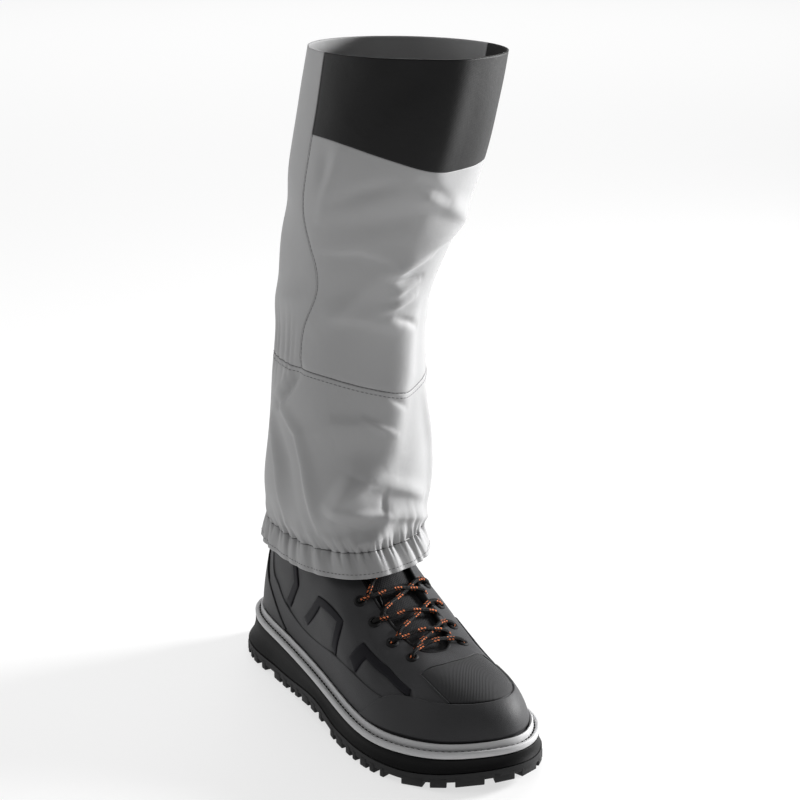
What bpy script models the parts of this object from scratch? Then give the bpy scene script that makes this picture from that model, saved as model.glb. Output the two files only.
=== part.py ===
"""Right wading boot with the lower leg of a breathable wader worn over it.

The boot is a lasted upper on a stitched welt, a midsole and a lugged outsole, closed by a tongue and a lace.
The wader leg is sewn from panels, and its gathered hem hangs over the collar of the boot.
Metres, +Z up, the toe towards +X and the outer side of the foot towards -Y. The sole stands on Z = 0.
"""

import math
from typing import NamedTuple

import bmesh
import bpy
import numpy as np

# Driving dimensions of the boot
LENGTH = 0.318
BALL_WIDTH = 0.122
COLLAR_HEIGHT = 0.150
WALL = 0.0022
GAP = 0.0004

# Layers of the sole, from the floor up
LUG_DEPTH = 0.0055
OUTSOLE_BASE = 0.0040
FEATHER_INSET = 0.0096
WELT_INSET = 0.0018
HEEL_FLARE = 0.0060
INSOLE_THICKNESS = 0.0040
INSOLE_INSET = FEATHER_INSET + WALL + 0.0012
STATIONS_PER_ROW = 3

# The wader leg
LEG_TOP = 0.475
LEG_WALL = 0.0012
LEG_COLUMNS = 36
HEM_HEIGHT = 0.1094
HEM_SWING = 0.0050
HEM_LOW_DEG = 85.0
CUFF_HEIGHT = 0.021
YOKE_HEIGHT = 0.240
SEAM_GAP = 0.0003

# The lace and its eyelets
LACE_RADIUS = 0.0019
EYELET_V = 0.86
EYELET_ROWS = (8.10, 7.26, 6.63, 6.12, 5.10)

OVERLAY = 0.0010
OVERLAY_GAP = 0.0006


class Section(NamedTuple):
    """A station of the last: its place on the outline, its top edge and the fullness of the wall between them."""

    along: float  # share of LENGTH from the heel
    outer: float  # share of BALL_WIDTH towards the outer side
    inner: float  # share of BALL_WIDTH towards the inner side
    top_along: float  # share of LENGTH
    top_across: float  # share of BALL_WIDTH to either side
    top_height: float  # share of COLLAR_HEIGHT
    rise: float  # metres that the wall rises before it turns in
    lean: float  # metres that it leans outwards there
    drop: float  # metres below the top edge where the wall starts to turn
    spread: float  # metres that it stands out there


SECTIONS = (
    Section(0.019, 0.000, 0.000, 0.128, 0.000, 0.967, 0.034, 0.0020, 0.034, -0.0040),
    Section(0.046, 0.190, 0.200, 0.140, 0.135, 0.967, 0.034, 0.0018, 0.034, -0.0035),
    Section(0.130, 0.314, 0.316, 0.192, 0.240, 0.953, 0.034, 0.0015, 0.036, -0.0020),
    Section(0.252, 0.364, 0.328, 0.277, 0.285, 0.933, 0.034, 0.0020, 0.040, 0.0000),
    Section(0.393, 0.412, 0.328, 0.371, 0.250, 0.945, 0.034, 0.0030, 0.034, 0.0070),
    Section(0.535, 0.472, 0.369, 0.440, 0.190, 0.835, 0.034, 0.0035, 0.018, 0.0170),
    Section(0.667, 0.525, 0.439, 0.535, 0.165, 0.672, 0.029, 0.0030, 0.009, 0.0220),
    Section(0.780, 0.525, 0.455, 0.635, 0.152, 0.540, 0.024, 0.0018, 0.006, 0.0215),
    Section(0.880, 0.434, 0.414, 0.701, 0.118, 0.478, 0.026, 0.0008, 0.005, 0.0220),
    Section(0.957, 0.254, 0.286, 0.728, 0.066, 0.462, 0.033, 0.0008, 0.003, 0.0330),
    Section(1.002, -0.050, 0.050, 0.735, -0.016, 0.457, 0.036, 0.0010, 0.002, 0.0430),
)
TOE_ROW = len(SECTIONS) - 1
LOOP_ROWS = 2 * TOE_ROW
LOOP_POINTS = LOOP_ROWS * STATIONS_PER_ROW


class Profile(NamedTuple):
    """Heights of the sole's layers at a place along it."""

    along: float  # share of LENGTH from the heel
    tread: float  # metres from the floor to the tread's face
    midsole: float  # metres from the floor to the top of the midsole


PROFILES = (
    Profile(-0.03, 0.0010, 0.0310),
    Profile(0.06, 0.0000, 0.0306),
    Profile(0.25, 0.0000, 0.0288),
    Profile(0.36, 0.0018, 0.0270),
    Profile(0.50, 0.0048, 0.0246),
    Profile(0.60, 0.0000, 0.0220),
    Profile(0.74, 0.0000, 0.0198),
    Profile(0.84, 0.0000, 0.0207),
    Profile(0.92, 0.0026, 0.0225),
    Profile(1.02, 0.0085, 0.0264),
)


class Ring(NamedTuple):
    """A level of the wader leg: an oval that is round at the front and the back."""

    height: float
    centre_x: float  # metres from the heel
    centre_y: float
    half_depth: float
    half_width: float
    fullness: float  # 2 for a true oval, more for fuller corners


RINGS = (
    Ring(0.090, 0.1050, 0.003, 0.0752, 0.0512, 2.50),
    Ring(0.107, 0.1050, 0.003, 0.0738, 0.0504, 2.50),
    Ring(0.128, 0.1035, 0.004, 0.0668, 0.0470, 2.45),
    Ring(0.150, 0.1030, 0.005, 0.0670, 0.0510, 2.35),
    Ring(0.190, 0.1050, 0.006, 0.0645, 0.0525, 2.15),
    Ring(0.240, 0.1080, 0.006, 0.0600, 0.0515, 2.05),
    Ring(0.300, 0.1150, 0.006, 0.0600, 0.0495, 2.00),
    Ring(0.350, 0.1285, 0.010, 0.0680, 0.0560, 2.00),
    Ring(0.400, 0.1420, 0.016, 0.0745, 0.0610, 2.00),
    Ring(0.480, 0.1580, 0.024, 0.0755, 0.0620, 2.00),
)


class SeamPoint(NamedTuple):
    """A point of the wader's side seams, as turns from the front of the leg."""

    height: float
    outer_deg: float
    inner_deg: float


SIDE_SEAM = (
    SeamPoint(0.236, 76.0, 70.0),
    SeamPoint(0.265, 74.0, 70.0),
    SeamPoint(0.300, 67.0, 72.0),
    SeamPoint(0.325, 73.0, 76.0),
    SeamPoint(0.355, 86.0, 80.0),
    SeamPoint(0.411, 89.0, 82.0),
    SeamPoint(0.480, 90.0, 84.0),
)


class WeltPoint(NamedTuple):
    """A corner of the welt's section: metres in from the outline and up from the midsole."""

    inset: float
    height: float


WELT_SECTION = (
    WeltPoint(0.0024, 0.0004),
    WeltPoint(0.0018, 0.0014),
    WeltPoint(0.0018, 0.0040),
    WeltPoint(0.0030, 0.0052),
    WeltPoint(0.0046, 0.0047),
    WeltPoint(0.0055, 0.0041),
    WeltPoint(0.0060, 0.0050),
    WeltPoint(0.0061, 0.0080),
    WeltPoint(0.0072, 0.0092),
    WeltPoint(0.0081, 0.0090),
    WeltPoint(0.0091, 0.0004),
)

BLACK_RUBBER = ("black_rubber", (0.012, 0.012, 0.013), 0.55)
TREAD_RUBBER = ("tread_rubber", (0.030, 0.030, 0.031), 0.70)
GREY_WELT = ("grey_welt", (0.42, 0.42, 0.43), 0.55)
CHARCOAL_UPPER = ("charcoal_upper", (0.028, 0.028, 0.030), 0.60)
TONGUE_FABRIC = ("tongue_fabric", (0.020, 0.020, 0.023), 0.85)
LACE_CORD = ("lace_cord", (0.030, 0.026, 0.024), 0.80)
INSOLE_FOAM = ("insole_foam", (0.060, 0.060, 0.062), 0.90)
GREY_CLOTH = ("grey_cloth", (0.32, 0.32, 0.32), 0.75)
BLACK_CLOTH = ("black_cloth", (0.014, 0.014, 0.015), 0.75)


# Curves through tables

def cubic(knots, values, period=0.0):
    """A smooth curve through rows of values at the knots, with free ends, or closed after a period."""
    knots = np.asarray(knots, float)
    values = np.asarray(values, float).reshape(len(knots), -1)
    if period:
        knots = np.append(knots, knots[0] + period)
        values = np.vstack([values, values[:1]])
    count = len(knots)
    step = np.diff(knots)
    slope = np.diff(values, axis=0) / step[:, None]
    matrix = np.eye(count)
    target = np.zeros_like(values)
    for i in range(1, count - 1):
        matrix[i, i - 1 : i + 2] = step[i - 1], 2 * (step[i - 1] + step[i]), step[i]
        target[i] = 6 * (slope[i] - slope[i - 1])
    if period:
        matrix[0, 0] = 2 * (step[-1] + step[0])
        matrix[0, 1] = step[0]
        matrix[0, count - 2] = step[-1]
        target[0] = 6 * (slope[0] - slope[-1])
        matrix[-1, 0] = -1
    bend = np.linalg.solve(matrix, target)

    def at(place):
        place = np.atleast_1d(np.asarray(place, float))
        if period:
            place = knots[0] + np.mod(place - knots[0], period)
        i = np.clip(np.searchsorted(knots, place, side="right") - 1, 0, count - 2)
        before = ((knots[i + 1] - place) / step[i])[:, None]
        after = 1 - before
        curl = (before**3 - before) * bend[i] + (after**3 - after) * bend[i + 1]
        return before * values[i] + after * values[i + 1] + curl * (step[i] ** 2 / 6)[:, None]

    return at


def around_the_foot(pick):
    """A closed curve over the rows: heel, outer side, toe and back along the inner side."""
    outer = [pick(row, -1) for row in SECTIONS]
    inner = [pick(row, 1) for row in SECTIONS[TOE_ROW - 1 : 0 : -1]]
    return cubic(np.arange(LOOP_ROWS), outer + inner, LOOP_ROWS)


OUTLINE = around_the_foot(
    lambda row, side: (
        row.along * LENGTH,
        side * (row.inner if side > 0 else row.outer) * BALL_WIDTH,
    )
)
TOP_EDGE = around_the_foot(
    lambda row, side: (
        row.top_along * LENGTH,
        side * row.top_across * BALL_WIDTH,
        row.top_height * COLLAR_HEIGHT,
    )
)
FULLNESS = around_the_foot(lambda row, side: (row.rise, row.lean, row.drop, row.spread))
SOLE_HEIGHTS = cubic(
    [row.along * LENGTH for row in PROFILES], [(row.tread, row.midsole) for row in PROFILES]
)
LEG_RINGS = cubic([row.height for row in RINGS], [row[1:] for row in RINGS])
LEG_SEAMS = cubic(
    [row.height for row in SIDE_SEAM], [(row.outer_deg, row.inner_deg) for row in SIDE_SEAM]
)


# The last and the layers of the sole

def tread_height(x):
    """Height of the tread's face: flat on the floor under the heel and the ball, lifted at the arch and the toe."""
    return np.maximum(SOLE_HEIGHTS(x)[:, 0], 0)


def midsole_height(x):
    return SOLE_HEIGHTS(x)[:, 1]


def outward(row):
    """Unit vectors that point out of the outline, level with the floor."""
    small = 0.01
    run = OUTLINE(np.asarray(row) + small) - OUTLINE(np.asarray(row) - small)
    normal = np.column_stack([run[:, 1], -run[:, 0], np.zeros(len(run))])
    return normal / np.linalg.norm(normal, axis=1)[:, None]


def inset_outline(row, inset):
    """Points of the outline moved inwards, as plan coordinates."""
    return OUTLINE(row) - outward(row)[:, :2] * np.reshape(inset, (-1, 1))


def heel_flare(row):
    """How far the foot of the sole stands out behind the heel."""
    return HEEL_FLARE * np.clip(1 - OUTLINE(row)[:, 0] / 0.075, 0, 1)


def layer(row, inset, height_of):
    """A closed loop of points on a level of the sole."""
    plan = inset_outline(row, inset)
    return np.column_stack([plan, height_of(plan[:, 0])])


def upper_point(row, level, lift=0.0):
    """Points on the outside of the upper: row runs round the foot, level rises from the sole to the top edge."""
    row = np.atleast_1d(np.asarray(row, float))
    level = np.broadcast_to(np.asarray(level, float), row.shape)
    foot = layer(row, FEATHER_INSET, lambda x: midsole_height(x) + GAP)
    top = TOP_EDGE(row)
    rise, lean, drop, spread = FULLNESS(row).T
    out = outward(row)
    up = np.array([0.0, 0.0, 1.0])
    low_handle = foot + out * lean[:, None] + up * rise[:, None]
    high_handle = top + out * spread[:, None] - up * drop[:, None]
    t = level[:, None]
    s = 1 - t
    point = s**3 * foot + 3 * s**2 * t * low_handle + 3 * s * t**2 * high_handle + t**3 * top
    return point + upper_normal(row, level) * lift if lift else point


def upper_normal(row, level):
    """Unit vectors that point out of the upper."""
    small = 0.004
    low = np.clip(level - small, 0, 1)
    high = np.clip(level + small, 0, 1)
    run = upper_point(row + small, level) - upper_point(row - small, level)
    climb = upper_point(row, high) - upper_point(row, low)
    normal = np.cross(run, climb)
    return normal / np.linalg.norm(normal, axis=1)[:, None]


def level_at_height(row, height):
    """The level at which the upper's wall is this far above the midsole."""
    levels = np.linspace(0, 0.5, 101)
    found = []
    for one in np.atleast_1d(row):
        wall = upper_point(np.full(len(levels), one), levels)
        found.append(np.interp(height, wall[:, 2] - wall[0, 2], levels))
    return np.array(found)


def hem_edge(turn_deg):
    """Height of the hem's lower edge, which hangs lowest before the outer ankle."""
    return HEM_HEIGHT - HEM_SWING * np.cos(np.radians(np.asarray(turn_deg) - HEM_LOW_DEG))


def leg_point(turn_deg, height):
    """Points on the outside of the wader leg: turn runs from the front towards the outer side."""
    sag = (hem_edge(turn_deg) - HEM_HEIGHT) * np.clip((YOKE_HEIGHT - height) / 0.09, 0, 1)
    centre_x, centre_y, depth, width, fullness = LEG_RINGS(height - sag).T
    ahead, aside = np.cos(np.radians(turn_deg)), np.sin(np.radians(turn_deg))
    reach = (np.abs(ahead) ** fullness + np.abs(aside) ** fullness) ** (-1 / fullness)
    return np.column_stack([centre_x + depth * reach * ahead, centre_y - width * reach * aside, height])


def knee_edge(across):
    """Height of the lower edge of the knee panel, from the inner to the outer seam."""
    outer = np.clip((np.asarray(across) - 0.45) / 0.55, 0, 1)
    inner = np.clip((0.45 - np.asarray(across)) / 0.45, 0, 1)
    return 0.395 + 0.026 * outer**1.3 + 0.008 * inner**2


# Making objects

def material(name, colour, roughness):
    made = bpy.data.materials.get(name)
    if made is None:
        made = bpy.data.materials.new(name)
        made.use_nodes = True
        shader = made.node_tree.nodes["Principled BSDF"]
        shader.inputs["Base Color"].default_value = (*colour, 1)
        shader.inputs["Roughness"].default_value = roughness
        shader.inputs["Metallic"].default_value = 0.0
    return made


def finish(name, bm, look, sharp_deg=40.0):
    """Makes an object of a bmesh under the part's own empty."""
    mesh = bpy.data.meshes.new(name)
    bm.to_mesh(mesh)
    bm.free()
    mesh.materials.append(material(*look))
    mesh.shade_smooth()
    mesh.set_sharp_from_angle(angle=math.radians(sharp_deg))
    made = bpy.data.objects.new(name, mesh)
    bpy.context.scene.collection.objects.link(made)
    made.parent = ROOT
    return made


def thicken(made, thickness):
    """Gives a surface a wall on its inner side."""
    wall = made.modifiers.new("wall", "SOLIDIFY")
    wall.thickness = thickness
    wall.offset = -1
    wall.use_even_offset = True
    wall.use_rim = True
    return made


def sheet(place, columns, rows, wrap=False):
    """A grid laid on a surface: place takes shares across and up, from 0 to 1."""
    bm = bmesh.new()
    bmesh.ops.create_grid(bm, x_segments=columns, y_segments=rows, size=0.5)
    shares = np.array([vert.co[:2] for vert in bm.verts]) + 0.5
    for vert, point in zip(bm.verts, place(shares[:, 0], shares[:, 1])):
        vert.co = point
    if wrap:
        bmesh.ops.remove_doubles(bm, verts=bm.verts, dist=1e-6)
    return bm


def slab(loops):
    """A solid through closed loops from the bottom up, with rungs across its bottom and its top."""
    bm = bmesh.new()
    rings = [[bm.verts.new(point) for point in loop] for loop in loops]
    count = len(rings[0])
    half = count // 2
    for low, high in zip(rings, rings[1:]):
        for i in range(count):
            j = (i + 1) % count
            bm.faces.new((low[i], low[j], high[j], high[i]))
    for i in range(half):
        near, far = i, (count - i) % count
        rung = [near, i + 1, count - i - 1, far]
        corners = list(dict.fromkeys(rung))
        bm.faces.new([rings[-1][k] for k in corners])
        bm.faces.new([rings[0][k] for k in reversed(corners)])
    bmesh.ops.recalc_face_normals(bm, faces=bm.faces)
    return bm


def tube(rings):
    """A closed ring-shaped solid: loops that follow each other round its section."""
    bm = bmesh.new()
    loops = [[bm.verts.new(point) for point in ring] for ring in rings]
    count = len(loops[0])
    for low, high in zip(loops, loops[1:] + loops[:1]):
        for i in range(count):
            j = (i + 1) % count
            bm.faces.new((low[i], low[j], high[j], high[i]))
    bmesh.ops.recalc_face_normals(bm, faces=bm.faces)
    return bm


def join(target, tool):
    """Joins a helper solid to a part and leaves the helper out of the model."""
    union = target.modifiers.new("join_" + tool.name, "BOOLEAN")
    union.operation = "UNION"
    union.object = tool
    tool.hide_render = True
    tool.display_type = "WIRE"


# The sole

ALL_ROWS = np.arange(LOOP_POINTS) / STATIONS_PER_ROW


def make_midsole():
    def foot(x):
        return tread_height(x) + LUG_DEPTH + OUTSOLE_BASE + GAP

    def part_way(share):
        return lambda x: foot(x) + (midsole_height(x) - foot(x)) * share

    loops = [
        layer(ALL_ROWS, 0.0004 - heel_flare(ALL_ROWS), foot),
        layer(ALL_ROWS, 0.0016 - 0.6 * heel_flare(ALL_ROWS), part_way(0.25)),
        layer(ALL_ROWS, 0.0024 - 0.2 * heel_flare(ALL_ROWS), part_way(0.65)),
        layer(ALL_ROWS, WELT_INSET, midsole_height),
    ]
    return finish("midsole", slab(loops), BLACK_RUBBER)


class Lug(NamedTuple):
    """A block at the edge of the tread."""

    row: float
    half_length: float  # share of a row
    depth: float  # metres in from the edge


EDGE_LUGS = 34
LUG_STAND_OUT = 0.0006


def edge_lugs():
    """Blocks round the edge of the tread, long and short by turns."""
    pitch = LOOP_ROWS / EDGE_LUGS
    for i in range(EDGE_LUGS):
        long = i % 2 == 1
        yield Lug((i + 0.5) * pitch, 0.25 if long else 0.18, 0.0150 if long else 0.0110)


def edge_lug_plan(lug):
    """Plan corners of an edge block, narrower towards the middle of the sole."""
    ends = np.array([lug.row - lug.half_length, lug.row + lug.half_length])
    narrow = np.array([lug.row + 0.75 * lug.half_length, lug.row - 0.75 * lug.half_length])
    outer = inset_outline(ends, -LUG_STAND_OUT - heel_flare(ends))
    return np.vstack([outer, inset_outline(narrow, lug.depth)])


class Chevron(NamedTuple):
    """A block across the middle of the tread, its point towards the toe."""

    along: float  # share of LENGTH
    reach: float
    arm: float
    bar: float


CHEVRONS = (
    Chevron(0.125, 0.016, 0.009, 0.009),
    Chevron(0.195, 0.017, 0.009, 0.009),
    Chevron(0.265, 0.018, 0.009, 0.009),
    Chevron(0.625, 0.030, 0.012, 0.010),
    Chevron(0.700, 0.033, 0.012, 0.010),
    Chevron(0.775, 0.033, 0.012, 0.010),
    Chevron(0.850, 0.028, 0.012, 0.010),
)


def chevron_plan(block):
    x = block.along * LENGTH
    y = 0.0 if block.along < 0.5 else -0.003
    back = x - block.arm
    return np.array(
        [
            (x, y),
            (back, y - block.reach),
            (back + block.bar, y - block.reach),
            (x + block.bar, y),
            (back + block.bar, y + block.reach),
            (back, y + block.reach),
        ]
    )


def add_block(bm, plan):
    """Adds a block that stands on the tread's face and reaches into the base above it."""
    bite = 0.0012
    face = tread_height(plan[:, 0])
    low = [bm.verts.new((*p, z)) for p, z in zip(plan, face)]
    high = [bm.verts.new((*p, z + LUG_DEPTH + bite)) for p, z in zip(plan, face)]
    faces = [bm.faces.new(low), bm.faces.new(high)]
    for i in range(len(plan)):
        j = (i + 1) % len(plan)
        faces.append(bm.faces.new((low[i], low[j], high[j], high[i])))
    bmesh.ops.recalc_face_normals(bm, faces=faces)


def make_outsole():
    def root(x):
        return tread_height(x) + LUG_DEPTH

    def top(x):
        return root(x) + OUTSOLE_BASE

    flare = heel_flare(ALL_ROWS)
    loops = [layer(ALL_ROWS, 0.0012 - flare, root), layer(ALL_ROWS, 0.0002 - flare, top)]
    base = finish("outsole", slab(loops), TREAD_RUBBER)
    bm = bmesh.new()
    for lug in edge_lugs():
        add_block(bm, edge_lug_plan(lug))
    for block in CHEVRONS:
        add_block(bm, chevron_plan(block))
    join(base, finish("tread_blocks", bm, TREAD_RUBBER))
    return base


def make_welt():
    def level(height):
        return lambda x: midsole_height(x) + height

    rings = [layer(ALL_ROWS, point.inset, level(point.height)) for point in WELT_SECTION]
    return finish("welt", tube(rings), GREY_WELT)


def make_insole():
    def foot(x):
        return midsole_height(x) + GAP

    loops = [
        layer(ALL_ROWS, INSOLE_INSET, foot),
        layer(ALL_ROWS, INSOLE_INSET, lambda x: foot(x) + INSOLE_THICKNESS),
    ]
    return finish("insole", slab(loops), INSOLE_FOAM)


# The upper and what is on it

UPPER_LEVELS = 8


def make_upper():
    def place(across, up):
        return upper_point(across * LOOP_ROWS, up)

    made = finish("upper", sheet(place, LOOP_POINTS, UPPER_LEVELS, wrap=True), CHARCOAL_UPPER)
    return thicken(made, WALL)


WELT_CLEARANCE = 0.0102
CAP_START = 6.35
CAP_RAMP = 1.15
CAP_RISE = 0.27
COUNTER_END = 2.75
COUNTER_RISE = 0.46


def make_toe_cap():
    """The moulded cap round the toe, from just above the welt to its curved upper edge."""

    def place(across, up):
        row = CAP_START + across * (LOOP_ROWS - 2 * CAP_START)
        from_end = TOE_ROW - CAP_START - np.abs(row - TOE_ROW)
        low = level_at_height(row, WELT_CLEARANCE)
        rise = 0.03 + CAP_RISE * np.sin(np.clip(from_end / CAP_RAMP, 0, 1) * math.pi / 2)
        return upper_point(row, low + rise * up, OVERLAY_GAP + OVERLAY)

    return thicken(finish("toe_cap", sheet(place, 22, 4), CHARCOAL_UPPER), OVERLAY)


def make_heel_counter():
    """The moulded counter round the heel, high at the back and falling to the welt on both sides."""

    def place(across, up):
        turn = across * 2 - 1
        row = np.mod(turn * COUNTER_END, LOOP_ROWS)
        low = level_at_height(row, WELT_CLEARANCE)
        rise = 0.03 + COUNTER_RISE * np.cos(turn * math.pi / 2) ** 1.2
        return upper_point(row, low + rise * up, OVERLAY_GAP + OVERLAY)

    return thicken(finish("heel_counter", sheet(place, 18, 5), CHARCOAL_UPPER), OVERLAY)


class Crest(NamedTuple):
    """A section across the tongue, as a parabola under the walls beside the throat."""

    x: float
    height: float
    fall: float  # metres down for each square metre off its middle


def upper_lining(lift):
    """Points on the upper beside and before the throat, this far above its outside."""
    row, level = np.meshgrid(np.linspace(4.0, 16.0, 241), np.linspace(0.72, 1.0, 29))
    return upper_point(row.ravel(), level.ravel(), lift)


TONGUE_STATIONS = (0.256, 0.246, 0.236, 0.224, 0.212, 0.200, 0.188, 0.176, 0.164, 0.152, 0.140, 0.129)
TONGUE_MIDDLE = 0.0005
TONGUE_CLEARANCE = 0.0009
TONGUE_LIP = (0.119, 0.160)
TONGUE_THICKNESS = 0.0045


def tongue_half_width(x):
    """Half the tongue's width, which narrows where it is sewn in under the vamp."""
    return np.interp(x, (0.118, 0.224, 0.256), (0.029, 0.029, 0.014))


def tongue_crests():
    """Sections of the tongue that keep just clear of the upper's lining, and the free lip above them."""
    lining = upper_lining(-WALL)
    crests = []
    for x in TONGUE_STATIONS:
        near = lining[np.abs(lining[:, 0] - x) < 0.0010]
        near = near[np.abs(near[:, 1] - TONGUE_MIDDLE) < tongue_half_width(x) + 0.003]
        off = near[:, 1] - TONGUE_MIDDLE
        fall = -np.polyfit(off**2, near[:, 2], 1)[0]
        crests.append(Crest(x, np.min(near[:, 2] + fall * off**2) - TONGUE_CLEARANCE, fall))
    crests.append(Crest(*TONGUE_LIP, crests[-1].fall))
    return crests


def make_tongue():
    """The padded tongue that closes the throat under the lace."""
    crests = tongue_crests()
    section = cubic(np.linspace(0, 1, len(crests)), crests)

    def place(across, up):
        x, height, fall = section(up).T
        off = (across * 2 - 1) * tongue_half_width(x)
        return np.column_stack([x, TONGUE_MIDDLE + off, height - fall * off**2])

    return thicken(finish("tongue", sheet(place, 8, 14), TONGUE_FABRIC), TONGUE_THICKNESS)


def eyelet_rows(side):
    """Rows of the last at which one side's eyelets sit."""
    return [row if side == "outer" else LOOP_ROWS - row for row in EYELET_ROWS]


EYELET_HOLE = 0.0026
EYELET_RIM = 0.0052
EYELET_SIDES = 8


def make_eyelet(name, row):
    """A flat reinforcing ring on the upper beside the throat."""
    row = np.array([row])
    level = np.array([EYELET_V])
    normal = upper_normal(row, level)[0]
    climb = (upper_point(row, level + 0.02) - upper_point(row, level - 0.02))[0]
    climb /= np.linalg.norm(climb)
    across = np.cross(climb, normal)
    centre = upper_point(row, level)[0]
    turns = np.arange(EYELET_SIDES) * 2 * math.pi / EYELET_SIDES
    round_it = np.outer(np.cos(turns), across) + np.outer(np.sin(turns), climb)
    low = OVERLAY_GAP
    section = ((EYELET_HOLE, low), (EYELET_RIM, low), (EYELET_RIM, low + OVERLAY), (EYELET_HOLE, low + OVERLAY))
    rings = [centre + radius * round_it + lift * normal for radius, lift in section]
    return finish(name, tube(rings), CHARCOAL_UPPER)


# The wader leg as cloth

def make_hem_cuff():
    """The gathered cuff below the elastic."""

    def place(across, up):
        return leg_point(across * 360, hem_edge(across * 360) + (CUFF_HEIGHT - 2 * SEAM_GAP) * up)

    return thicken(finish("hem_cuff", sheet(place, LEG_COLUMNS, 2, wrap=True), GREY_CLOTH), LEG_WALL)


def make_lower_leg():
    """The tube between the elastic and the cross seam below the calf."""

    def place(across, up):
        low = hem_edge(across * 360) + CUFF_HEIGHT
        return leg_point(across * 360, low + (YOKE_HEIGHT - SEAM_GAP - low) * up)

    return thicken(finish("lower_leg", sheet(place, LEG_COLUMNS, 5, wrap=True), GREY_CLOTH), LEG_WALL)


PANEL_ROWS = 9
PANEL_COLUMNS = 14
KNEE_ROWS = 4


def seam_turns(outer_height, inner_height):
    """Turns of the outer and the inner side seam at these heights, in degrees from the front."""
    return LEG_SEAMS(outer_height)[:, 0], -LEG_SEAMS(inner_height)[:, 1]


def shin_height(across, up):
    """Heights between the cross seam and the knee panel."""
    return YOKE_HEIGHT + (knee_edge(across) - YOKE_HEIGHT) * up


def knee_height(across, up):
    """Heights between the knee panel's lower edge and the top of the leg."""
    return knee_edge(across) + (LEG_TOP - knee_edge(across)) * up


def make_front_panel():
    """The shin panel between the side seams, below the knee panel."""

    def place(across, up):
        outer, inner = seam_turns(shin_height(1, up), shin_height(0, up))
        return leg_point(inner + (outer - inner) * across, shin_height(across, up) - SEAM_GAP * up)

    return thicken(finish("front_panel", sheet(place, PANEL_COLUMNS, PANEL_ROWS), GREY_CLOTH), LEG_WALL)


def make_knee_panel():
    """The dark panel over the knee."""

    def place(across, up):
        outer, inner = seam_turns(knee_height(1, up), knee_height(0, up))
        return leg_point(inner + (outer - inner) * across, knee_height(across, up))

    return thicken(finish("knee_panel", sheet(place, PANEL_COLUMNS, KNEE_ROWS), BLACK_CLOTH), LEG_WALL)


def make_back_panel():
    """The calf panel behind the side seams, up to the top edge, in step with the rows of the panels in front."""
    clear_deg = 0.6
    rows = PANEL_ROWS + KNEE_ROWS

    def height(side, up):
        low = shin_height(side, np.clip(up * rows / PANEL_ROWS, 0, 1))
        return np.where(up * rows <= PANEL_ROWS, low, knee_height(side, (up * rows - PANEL_ROWS) / KNEE_ROWS))

    def place(across, up):
        outer, inner = seam_turns(height(1, up), height(0, up))
        start = outer + clear_deg
        end = inner + 360 - clear_deg
        level = height(1, up) * (1 - across) + height(0, up) * across
        return leg_point(start + (end - start) * across, level)

    return thicken(finish("back_panel", sheet(place, PANEL_COLUMNS + 2, rows), GREY_CLOTH), LEG_WALL)


# The lace

LACE_TURN = 0.26
LACE_ARCH = 0.0030
LACE_CLEARANCE = 0.0013


def eyelet_crossing(row):
    """The point above an eyelet where the middle of the lace turns."""
    return upper_point(np.array([row]), np.array([EYELET_V]), OVERLAY_GAP + OVERLAY + LACE_RADIUS + 0.0010)[0]


def lift_clear(stops):
    """Lifts the stops of a cord clear of the tongue and of the edges of the throat."""
    crests = np.array(tongue_crests())[::-1]
    deck = upper_lining(GAP)
    for stop in stops:
        height, fall = (np.interp(stop[0], crests[:, 0], crests[:, k]) for k in (1, 2))
        floor = height - fall * (stop[1] - TONGUE_MIDDLE) ** 2
        near = deck[np.hypot(deck[:, 0] - stop[0], deck[:, 1] - stop[1]) < 1.6 * LACE_RADIUS]
        floor = max([floor, *near[:, 2]])
        stop[2] = max(stop[2], floor + LACE_RADIUS * 1.25 + LACE_CLEARANCE)
    return stops


def strand_path(first_side):
    """Stops of a strand that changes sides at each eyelet and arches over the tongue in between."""
    turns = []
    for i in range(len(EYELET_ROWS)):
        side = first_side if i % 2 == 0 else {"outer": "inner", "inner": "outer"}[first_side]
        row = eyelet_rows(side)[i]
        away = LACE_TURN if side == "outer" else -LACE_TURN
        turns.append([eyelet_crossing(row + 0.5 * away), eyelet_crossing(row - 0.5 * away)])
    stops = [turns[0][1]]
    for (_, start), (end, leave) in zip(turns, turns[1:]):
        between = []
        for share in (0.2, 0.4, 0.6, 0.8):
            arch = LACE_ARCH * 4 * share * (1 - share)
            between.append(start + (end - start) * share + np.array([0, 0, arch]))
        stops += [*lift_clear(between), end, leave]
    return np.array(stops[:-1])


def cord(name, stops):
    """A round cord through the stops, as a closed solid."""
    reach = np.concatenate([[0], np.cumsum(np.linalg.norm(np.diff(stops, axis=0), axis=1))])
    path = cubic(reach, stops)(np.linspace(0, reach[-1], 3 * len(stops) // 2))
    curve = bpy.data.curves.new(name, "CURVE")
    curve.dimensions = "3D"
    curve.bevel_depth = LACE_RADIUS
    curve.bevel_resolution = 1
    curve.use_fill_caps = True
    spline = curve.splines.new("POLY")
    spline.points.add(len(path) - 1)
    for point, stop in zip(spline.points, path):
        point.co = (*stop, 1)
    shape = bpy.data.objects.new(name + "_path", curve)
    bm = bmesh.new()
    bm.from_mesh(shape.to_mesh())
    bmesh.ops.remove_doubles(bm, verts=bm.verts, dist=1e-6)
    bmesh.ops.recalc_face_normals(bm, faces=bm.faces)
    bpy.data.objects.remove(shape)
    return finish(name, bm, LACE_CORD, sharp_deg=70)


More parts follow.
